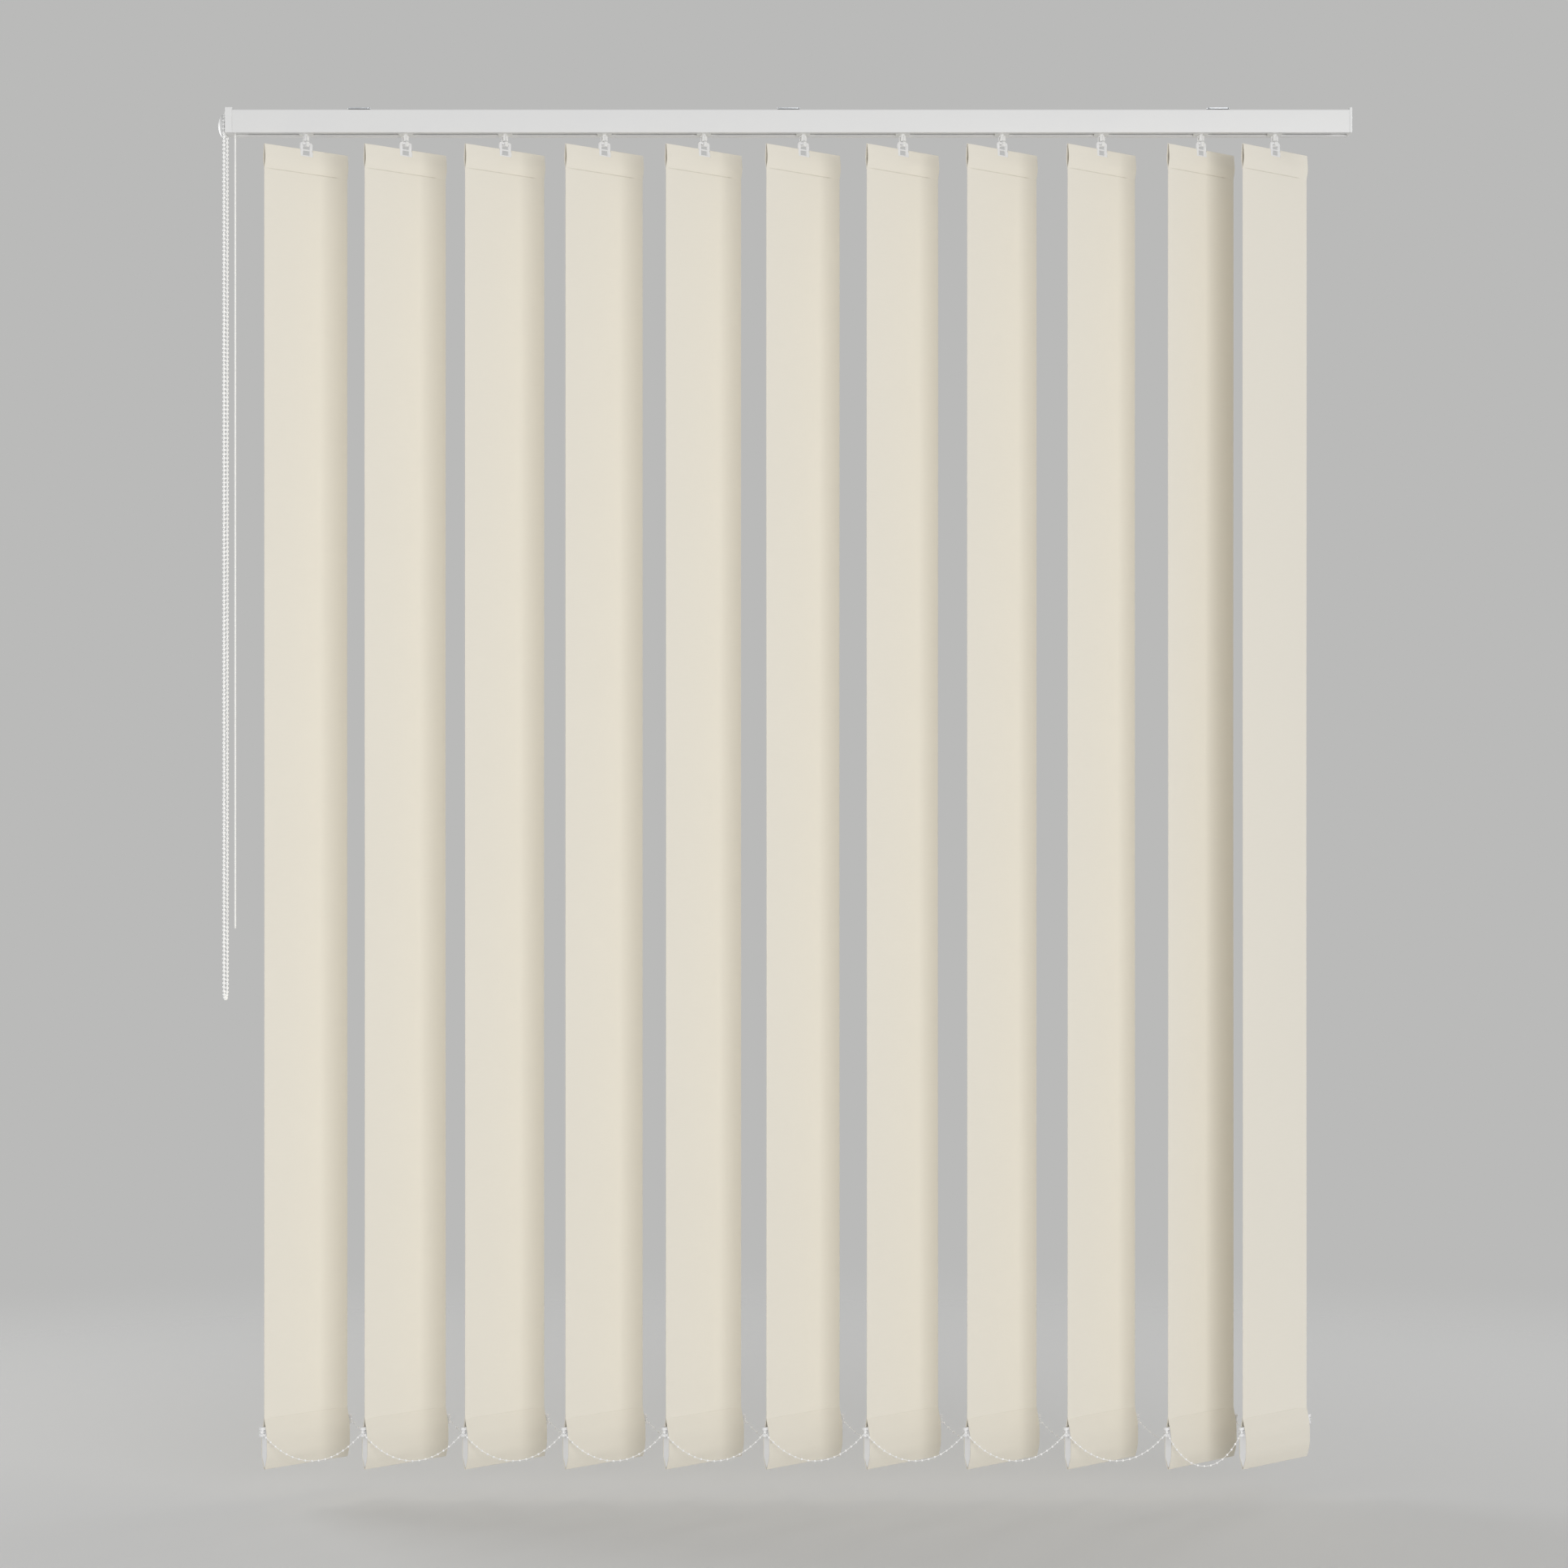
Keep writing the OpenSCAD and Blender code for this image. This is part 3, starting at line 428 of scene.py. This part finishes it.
def drawn_aluminium():
    """Drawn aluminium rod: bare metal with lines along its length, drawn wider than real ones, so that they
    show."""
    made, tree, shader = material("drawn_aluminium", Metallic=1.0, Roughness=0.35)
    place = add(tree, "ShaderNodeTexCoord").outputs["Object"]
    line_length, line_width = 50 * MM, 0.3 * MM
    drawn = add(tree, "ShaderNodeMapping", {"Vector": place,
                                            "Scale": (1 / line_length, 1 / line_width, 1 / line_width)})
    lines = add(tree, "ShaderNodeTexNoise", {"Vector": drawn.outputs[0], "Scale": 1.0, "Detail": 3.0})
    colour = add(tree, "ShaderNodeMix", {"Factor": lines.outputs["Fac"], 6: linear("#C2C5C8"),
                                         7: linear("#DADCDE")}, data_type="RGBA")
    tree.links.new(colour.outputs[2], shader.inputs["Base Color"])
    return made


def zinc_plated_steel():
    """Pressed steel with bright zinc: grey metal with a faint spangle."""
    made, tree, shader = material("zinc_plated_steel", Metallic=1.0, Roughness=0.4)
    place = add(tree, "ShaderNodeTexCoord").outputs["Object"]
    spangle_size = 3 * MM
    spangle = add(tree, "ShaderNodeTexVoronoi", {"Vector": place, "Scale": 1 / spangle_size})
    colour = add(tree, "ShaderNodeMix", {"Factor": spangle.outputs["Distance"], 6: linear("#BFC3C7"),
                                         7: linear("#D6D8DB")}, data_type="RGBA")
    tree.links.new(colour.outputs[2], shader.inputs["Base Color"])
    return made


RAIL_FINISH = powder_coated_aluminium()
CAP_PLASTIC = moulded_abs()
CARRIER_PLASTIC = moulded_acetal()
HOOK_PLASTIC = polycarbonate_hook()
WEIGHT_PLASTIC = moulded_polypropylene()
BEAD_PLASTIC = bead_plastic()
CORD_YARN = braided_cord()
ROD_METAL = drawn_aluminium()
BRACKET_METAL = zinc_plated_steel()


# Traverse cord


def traverse_cord():
    """The hanging loop of cord: down the front run, round a half circle and up the back run."""
    front, back = CORD_RUNS_Y
    loop_r = (back - front) / 2
    down_z = np.linspace(RAIL_BOTTOM, CORD_LOOP_Z, math.ceil((RAIL_BOTTOM - CORD_LOOP_Z) / CORD_STEP) + 1)
    down = np.stack([0 * down_z + front, down_z], -1)
    a = np.linspace(-np.pi / 2, np.pi / 2, CORD_LOOP_STEPS + 1)[1:-1]
    turn = np.stack([front + loop_r + loop_r * np.sin(a), CORD_LOOP_Z - loop_r * np.cos(a)], -1)
    up = np.stack([0 * down_z + back, down_z], -1)[::-1]
    route = np.concatenate([down, turn, up])
    route = np.column_stack([np.full(len(route), CORD_X), route])
    curve = bpy.data.curves.new("traverse_cord_yarn", "CURVE")
    curve.dimensions = "3D"
    curve.bevel_depth = CORD_R
    curve.bevel_resolution = 4
    curve.use_fill_caps = True
    spline = curve.splines.new("POLY")
    spline.points.add(len(route) - 1)
    spline.points.foreach_set("co", np.column_stack([route, np.ones(len(route))]).ravel())
    made = bpy.data.objects.new("traverse_cord_yarn", curve)
    bpy.context.scene.collection.objects.link(made)
    curve.materials.append(CORD_YARN)
    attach(made, "root")
    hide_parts("traverse_cord")


traverse_cord()


# Vanes


def strip_section():
    """Middle line of the folded strip in (v, z): from the flap behind the top hem, over the top fold, down
    the front, round the bottom fold and up to the flap behind the bottom hem."""
    half = FABRIC_T / 2
    flap = FABRIC_T + 0.02 * MM
    fold = 0.55 * MM
    top_edge, top_edge_z = 0.75 * MM, VANE_TOP - 1.6 * MM
    top_bulge, top_bulge_z = 2.2 * MM, TOP_HEM + 11 * MM
    bulge = 4.65 * MM
    bulge_top, bulge_low = VANE_BOTTOM + 37.9 * MM, VANE_BOTTOM + 14.4 * MM
    corners = [
        (flap, TOP_HEM - WELD_FLAP),
        (flap, TOP_HEM),
        (top_bulge, top_bulge_z),
        (top_edge, top_edge_z),
        (fold, VANE_TOP - half),
        (-fold, VANE_TOP - half),
        (-top_edge, top_edge_z),
        (-top_bulge, top_bulge_z),
        (0, TOP_HEM),
        (0, BOTTOM_HEM),
        (-bulge, bulge_top),
        (-bulge, bulge_low),
        (-fold, VANE_BOTTOM + half),
        (fold, VANE_BOTTOM + half),
        (bulge, bulge_low),
        (bulge, bulge_top),
        (flap, BOTTOM_HEM),
        (flap, BOTTOM_HEM + WELD_FLAP),
    ]
    # One radius for each corner between the ends
    radii = np.array([6, 40, 6, 0.5, 0.5, 6, 40, 10, 20, 60, 40, 1, 1, 40, 60, 20]) * MM
    return rounded_path(corners, radii)


STRIP = strip_section()
STRIP_AT = along(STRIP)
STRIP_FRONT = slice(np.argmax(STRIP[:, 1]), np.argmin(STRIP[:, 1]) + 1)


def front_at(z):
    """Length along the strip at height z on its front side."""
    return np.interp(-z, -STRIP[STRIP_FRONT, 1], STRIP_AT[STRIP_FRONT])


WELDS = np.array([front_at(TOP_HEM), front_at(BOTTOM_HEM)])
TOP_FOLD_AT = STRIP_AT[np.isclose(STRIP[:, 1], VANE_TOP - FABRIC_T / 2, rtol=0)].mean()
FABRIC = woven_polyester(WELDS)


def refined(s, step):
    """Rising numbers with even ones put between them, so that no two lie more than step apart."""
    parts = [np.linspace(a, b, max(2, math.ceil((b - a) / step) + 1))[:-1] for a, b in zip(s, s[1:]) if b > a]
    return np.append(np.concatenate(parts), s[-1])


def vane_cloth(number, place):
    """One vane: the section carried along u, with a notch cut through the top fold, then given the fabric's
    thickness. A weld presses it in by press x exp(-(distance / WELD_HALF)^2). Between the welds it waves by
    WAVE_HIGH x sin(length / WAVE_DOWN + WAVE_SLANT u) x cos(u / WAVE_ACROSS), shifted from vane to vane."""
    notch_front = front_at(VANE_TOP - NOTCH_DEEP)
    notch_back = 2 * TOP_FOLD_AT - notch_front
    s = np.union1d(refined(STRIP_AT, VANE_ROW), [notch_back, notch_front])
    s = np.union1d(s, (WELDS[:, None] + np.array([-2, -1, 0, 1, 2]) * WELD_HALF).ravel())
    u = np.linspace(-VANE_WIDTH / 2, VANE_WIDTH / 2, VANE_COLUMNS + 1)
    u = np.union1d(u, [-NOTCH_HALF, NOTCH_HALF])
    v = np.interp(s, STRIP_AT, STRIP[:, 0])[:, None] + 0 * u
    z = np.interp(s, STRIP_AT, STRIP[:, 1])[:, None] + 0 * u
    inside = np.clip((WELD_END + PRESS_FADE - np.abs(u - WELD_MID)) / PRESS_FADE, 0, 1)
    for weld, press in zip(WELDS, WELD_PRESSES):
        v += press * np.exp(-((s - weld) / WELD_HALF) ** 2)[:, None] * inside
    phase = WAVE_SHIFT * int(number)
    # Nothing at the welds, and all of the wave halfway between them
    free = np.clip((s - WELDS[0]) * (WELDS[1] - s) / (WELDS[1] - WELDS[0]) ** 2 * 4, 0, 1)
    wave = np.sin(s[:, None] / WAVE_DOWN + phase + WAVE_SLANT * u) * np.cos(u / WAVE_ACROSS + phase)
    v += WAVE_HIGH * (free[:, None] * wave)
    cos, sin = math.cos(VANE_ANGLE), math.sin(VANE_ANGLE)
    points = np.stack([place[0] + u * cos - v * sin, place[1] + u * sin + v * cos, z], -1).reshape(-1, 3)
    uv = np.stack([u + 0 * v, s[:, None] + 0 * v], -1).reshape(-1, 2)
    faces = grid_faces(len(s), len(u))
    mid_s = ((s[1:] + s[:-1]) / 2)[:, None]
    mid_u = (u[1:] + u[:-1]) / 2
    cut = (mid_s > notch_back) & (mid_s < notch_front) & (np.abs(mid_u) < NOTCH_HALF)
    faces = faces[~cut.ravel()]
    used, faces = np.unique(faces, return_inverse=True)
    faces = faces.reshape(-1, 4)
    made = mesh_object(f"vane_cloth_{number}", points[used], [faces], uv[used])
    solid = made.modifiers.new("thickness", "SOLIDIFY")
    solid.thickness = FABRIC_T
    solid.offset = 0
    solid.use_even_offset = True
    finished(made)
    made.data.set_sharp_from_angle(angle=SHARP)
    made.data.materials.append(FABRIC)
    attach(made, f"vane_{number}")
    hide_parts(f"vane_{number}")


for number, place in zip(vane_numbers, hook_places):
    vane_cloth(number, place)


# Chains


def tilt_chain():
    """The endless tilt chain: beads at even steps on a thread that runs up the front, half round the
    sprocket, down the back and half round below."""
    low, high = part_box("tilt_chain")
    x = (low.x + high.x) / 2
    axis = joint_place["rod_turn"]
    r = (high.y - low.y) / 2 - TILT_BEAD_R
    half_turn = POCKETS / 2 * TILT_PITCH
    run = RUN_STEPS * TILT_PITCH
    d = np.arange(2 * RUN_STEPS + POCKETS) * TILT_PITCH

    def at(d):
        """Point at distance d from the sprocket's front, over its top."""
        over = np.clip(d, 0, half_turn) / half_turn * np.pi
        down = np.clip(d - half_turn, 0, run)
        under = np.clip(d - half_turn - run, 0, half_turn) / half_turn * np.pi
        up = np.clip(d - 2 * half_turn - run, 0, run)
        y = -r * np.cos(over + under)
        z = np.where(down < run, r * np.sin(over), -r * np.sin(under)) - down + up
        return np.stack([0 * d + x, axis[1] + y, axis[2] + z], -1)

    rings_a_bead = 4
    thread_d = np.linspace(0, 2 * (half_turn + run), rings_a_bead * len(d), endpoint=False)
    beads = repeated(ball(TILT_BEAD_R, sides=12, rings=7), at(d))
    thread = tube(at(thread_d), TILT_THREAD_R, (1, 0, 0), sides=8, closed=True)
    points, faces = joined([beads, thread])
    made = mesh_object("tilt_chain_beads", points, faces)
    made.data.materials.append(BEAD_PLASTIC)
    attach(made, "root")
    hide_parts("tilt_chain")


def hanging_span(span, steps):
    """Beads of a hanging chain between two points span apart: x and z at even steps along the catenary
    z = a cosh(x / a) whose length is steps x pitch. Halving finds a, between a twentieth of the span and five
    spans."""
    halvings = 50
    length = steps * CHAIN_PITCH
    low, high = span * 0.05, span * 5
    for _ in range(halvings):
        a = (low + high) / 2
        if 2 * a * math.sinh(span / 2 / a) > length:
            low = a
        else:
            high = a
    x = a * np.arcsinh((np.arange(steps + 1) * CHAIN_PITCH - length / 2) / a)
    return np.stack([span / 2 + x, a * (np.cosh(x / a) - math.cosh(span / 2 / a))], -1)


def spool_places(side):
    """Where a chain is ringed on each vane: side is -1 at the vanes' front ends and 1 at their back ends."""
    places = hook_places + side * SPOOL_OUT * np.array([math.cos(VANE_ANGLE), math.sin(VANE_ANGLE), 0])
    places[:, 2] = SPOOL_Z
    return places


def chain_rings():
    """The two rings of each vane, round the necks of its spools. They turn with the vane."""
    steps = 24
    a = np.linspace(0, 2 * np.pi, steps, endpoint=False)
    ring = np.stack([RING_R * np.cos(a), RING_R * np.sin(a), 0 * a], -1)
    ring = tube(ring, RING_WIRE_R, (0, 0, 1), sides=8, closed=True)
    for number, front, back in zip(vane_numbers, spool_places(-1), spool_places(1)):
        made = mesh_object(f"chain_rings_{number}", *repeated(ring, [front, back]))
        made.data.materials.append(BEAD_PLASTIC)
        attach(made, f"vane_{number}")


def bottom_chain(name, side):
    """A bottom chain: a bead at each vane's ring and a beaded catenary from each to the next. side is -1 in
    front of the vanes and 1 behind them."""
    spools = spool_places(side)
    shapes = []
    beads = [spools + [0, side * CHAIN_OUT, 0]]
    for k, (start, end) in enumerate(zip(spools, spools[1:])):
        steps = SPAN_STEPS if k < len(spools) - 2 else LAST_SPAN_STEPS
        xz = hanging_span(end[0] - start[0], steps)
        path = start + np.stack([xz[:, 0], 0 * xz[:, 0] + side * CHAIN_OUT, xz[:, 1]], -1)
        beads.append(path[1:-1])
        shapes.append(tube(path, CHAIN_THREAD_R, (0, 1, 0), sides=6))
    shapes.append(repeated(ball(CHAIN_BEAD_R, sides=10, rings=6), np.concatenate(beads)))
    points, faces = joined(shapes)
    made = mesh_object(f"{name}_beads", points, faces)
    made.data.materials.append(BEAD_PLASTIC)
    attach(made, name.replace("_bottom", ""))
    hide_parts(name)
    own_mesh(made)


tilt_chain()
chain_rings()
bottom_chain("front_bottom_chain", -1)
bottom_chain("back_bottom_chain", 1)


# Rounded copies of the rigid solids


def capped(mesh):
    """Closes a mesh's open rims with flat faces."""
    shape = bmesh.new()
    shape.from_mesh(mesh)
    bmesh.ops.holes_fill(shape, edges=[edge for edge in shape.edges if edge.is_boundary])
    shape.to_mesh(mesh)
    shape.free()


def rounded_solid(name, edge, finish, left_of=None):
    """A copy of a rigid solid with rounded edges: points that coincide are merged, triangles of one plane are
    joined, and each edge that turns past EDGE_TURN is bevelled to the given width in two steps. What lies
    left of the given X is cut off and the cut closed."""
    shape = bmesh.new()
    shape.from_mesh(frame["nodes"][name].data)
    bmesh.ops.remove_doubles(shape, verts=shape.verts, dist=SAME_POINT)
    if left_of is not None:
        outside = [face for face in shape.faces if face.calc_center_median().x < left_of]
        bmesh.ops.delete(shape, geom=outside, context="FACES")
    bmesh.ops.dissolve_limit(shape, angle_limit=SAME_PLANE, verts=shape.verts, edges=shape.edges)
    mesh = bpy.data.meshes.new(f"{name}_solid")
    shape.to_mesh(mesh)
    shape.free()
    mesh.polygons.foreach_set("use_smooth", np.ones(len(mesh.polygons), bool))
    mesh.set_sharp_from_angle(angle=EDGE_TURN)
    made = bpy.data.objects.new(f"{name}_rounded", mesh)
    bpy.context.scene.collection.objects.link(made)
    bevel = made.modifiers.new("edges", "BEVEL")
    bevel.width = edge
    bevel.segments = 2
    bevel.limit_method = "ANGLE"
    bevel.angle_limit = EDGE_TURN
    bevel.use_clamp_overlap = False
    bevel.loop_slide = False
    bevel.harden_normals = True
    finished(made)
    capped(made.data)
    made.data.materials.append(finish)
    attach(made, NODE_BODY[name])
    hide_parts(name)


def sprocket():
    """The chain sprocket: its pocketed rim, and over its outer side a smooth dome, whose height at radius r
    is DOME_H (1 - (r / rim)^DOME_ROUND)^(1 / DOME_ROUND)."""
    low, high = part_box("chain_sprocket")
    base = low.x + DOME_H
    just_left = 0.01 * MM
    rounded_solid("chain_sprocket", 0.05 * MM, CAP_PLASTIC, left_of=base - just_left)
    rim = (high.z - low.z) / 2
    axis = joint_place["rod_turn"]
    turn = np.linspace(0, 2 * np.pi, DOME_SIDES, endpoint=False)
    share = np.sin(np.linspace(0, np.pi / 2, DOME_RINGS + 1))[1:, None]
    height = DOME_H * (1 - share**DOME_ROUND) ** (1 / DOME_ROUND)
    rings = np.stack([base - height + 0 * turn, axis[1] + rim * share * np.cos(turn),
                      axis[2] + rim * share * np.sin(turn)], -1).reshape(-1, 3)
    k = np.arange(DOME_SIDES)
    tip = np.stack([0 * k + len(rings), (k + 1) % DOME_SIDES, k], -1)
    back = k[None, :] + (DOME_RINGS - 1) * DOME_SIDES
    faces = [grid_faces(DOME_RINGS, DOME_SIDES, closed_columns=True), tip, back]
    dome = mesh_object("sprocket_dome", np.concatenate([rings, [[low.x, axis[1], axis[2]]]]), faces)
    dome.data.materials.append(CAP_PLASTIC)
    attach(dome, NODE_BODY["chain_sprocket"])


NODE_BODY = {node: body for body, nodes in frame["record"]["behaviour"]["bodies"].items() for node in nodes}
rounded_solid("headrail", 0.35 * MM, RAIL_FINISH)
rounded_solid("control_end_cap", 0.5 * MM, CAP_PLASTIC)
rounded_solid("return_end_cap", 0.5 * MM, CAP_PLASTIC)
sprocket()
rounded_solid("mounting_brackets", 0.25 * MM, BRACKET_METAL)
for number in vane_numbers:
    rounded_solid(f"hook_{number}", 0.25 * MM, HOOK_PLASTIC)
    rounded_solid(f"hanger_and_weight_{number}", 0.3 * MM, WEIGHT_PLASTIC)


# Finishes of the solids that show as they are

FINISHES = {
    "tilt_rod": ROD_METAL,
    "rail_cord": CORD_YARN,
    "front_control_pulley": CARRIER_PLASTIC,
    "back_control_pulley": CARRIER_PLASTIC,
    "return_pulley": CARRIER_PLASTIC,
    **{f"carrier_{number}": CARRIER_PLASTIC for number in vane_numbers},
}
for name, finish in FINISHES.items():
    solid = frame["nodes"][name]
    if not solid.material_slots:
        solid.data.materials.append(None)
    for slot in solid.material_slots:
        slot.material = finish


# Stage: floor, light and camera

FLOOR_Z = VANE_BOTTOM - 40 * MM
FLOOR_R = 2.4
FLOOR_SIDES = 96
FADE_R = 0.9
BACKGROUND = "#BABAB9"
FLOOR_PAPER = "#CBCBCA"
SKY_LIGHT = 0.5


def floor():
    """A pale round floor just below the vanes that fades into the background from FADE_R to its rim, and is
    clear from below."""
    a = np.linspace(0, 2 * np.pi, FLOOR_SIDES, endpoint=False)
    points = np.stack([FLOOR_R * np.cos(a), FLOOR_R * np.sin(a), 0 * a + FLOOR_Z], -1)
    made = mesh_object("floor", points, [np.arange(FLOOR_SIDES)[None, :]])
    surface, tree, shader = material("floor_paper", Base_Color=linear(FLOOR_PAPER), Roughness=0.9)
    place = add(tree, "ShaderNodeTexCoord").outputs["Object"]
    flat = add(tree, "ShaderNodeVectorMath", {0: place, 1: (1, 1, 0)}, operation="MULTIPLY")
    out = add(tree, "ShaderNodeVectorMath", {0: flat.outputs[0]}, operation="LENGTH")
    fade = add(tree, "ShaderNodeMapRange", {"Value": out.outputs["Value"], "From Min": FADE_R,
                                            "From Max": FLOOR_R}, interpolation_type="SMOOTHSTEP")
    below = add(tree, "ShaderNodeNewGeometry").outputs["Backfacing"]
    gone = add(tree, "ShaderNodeMath", {0: fade.outputs[0], 1: below}, operation="MAXIMUM")
    clear = add(tree, "ShaderNodeBsdfTransparent")
    mixed = add(tree, "ShaderNodeMixShader", {0: gone.outputs[0], 1: shader.outputs[0], 2: clear.outputs[0]})
    tree.links.new(mixed.outputs[0], tree.nodes["Material Output"].inputs["Surface"])
    made.data.materials.append(surface)


def lamp(name, place, aim, width, height, power):
    """A wide soft lamp at place, turned to aim."""
    light = bpy.data.lights.new(name, "AREA")
    light.shape = "RECTANGLE"
    light.size = width
    light.size_y = height
    light.energy = power
    made = bpy.data.objects.new(name, light)
    bpy.context.scene.collection.objects.link(made)
    made.location = place
    made.rotation_mode = "QUATERNION"
    made.rotation_quaternion = (Vector(aim) - Vector(place)).to_track_quat("-Z", "Y")


def sky():
    """Even white light all round, and a plain pale background where the camera looks past the object."""
    world = bpy.data.worlds.new("studio")
    world.use_nodes = True
    tree = world.node_tree
    tree.nodes.clear()
    rays = add(tree, "ShaderNodeLightPath").outputs
    seen = add(tree, "ShaderNodeMath", {0: rays["Is Camera Ray"], 1: rays["Is Glossy Ray"]},
               operation="MAXIMUM")
    seen = add(tree, "ShaderNodeMath", {0: seen.outputs[0], 1: rays["Is Transmission Ray"]},
               operation="MAXIMUM")
    light = add(tree, "ShaderNodeBackground", {"Color": (1, 1, 1, 1), "Strength": SKY_LIGHT})
    backdrop = add(tree, "ShaderNodeBackground", {"Color": linear(BACKGROUND), "Strength": 1.0})
    mixed = add(tree, "ShaderNodeMixShader", {0: seen.outputs[0], 1: light.outputs[0],
                                              2: backdrop.outputs[0]})
    add(tree, "ShaderNodeOutputWorld", {"Surface": mixed.outputs[0]})
    bpy.context.scene.world = world


def camera():
    """A level camera straight in front, at the distance that gives the photographed perspective."""
    view_distance = 4.75
    view_x, view_z = -5.3 * MM, -0.7873
    frame_width = 1.8304
    data = bpy.data.cameras.new("camera")
    data.sensor_width = 36
    data.lens = data.sensor_width * view_distance / frame_width
    made = bpy.data.objects.new("camera", data)
    bpy.context.scene.collection.objects.link(made)
    made.location = (view_x, -view_distance, view_z)
    made.rotation_euler = (math.pi / 2, 0, 0)
    bpy.context.scene.camera = made


floor()
sky()
lamp("key", place=(2.2, -5.3, -0.8), aim=(0, 0, -0.95), width=3.6, height=2.2, power=167)
lamp("fill", place=(-2.4, -2.7, -0.3), aim=(-0.3, 0, -0.7), width=2.0, height=2.2, power=17)
lamp("back_left", place=(-3.3, 2.7, -0.4), aim=(0, 0, -0.8), width=2.6, height=2.4, power=92)
lamp("back_right", place=(2.9, 3.1, -0.3), aim=(0.2, 0, -0.7), width=2.0, height=2.2, power=58)
camera()
bpy.context.scene.view_settings.view_transform = "Standard"
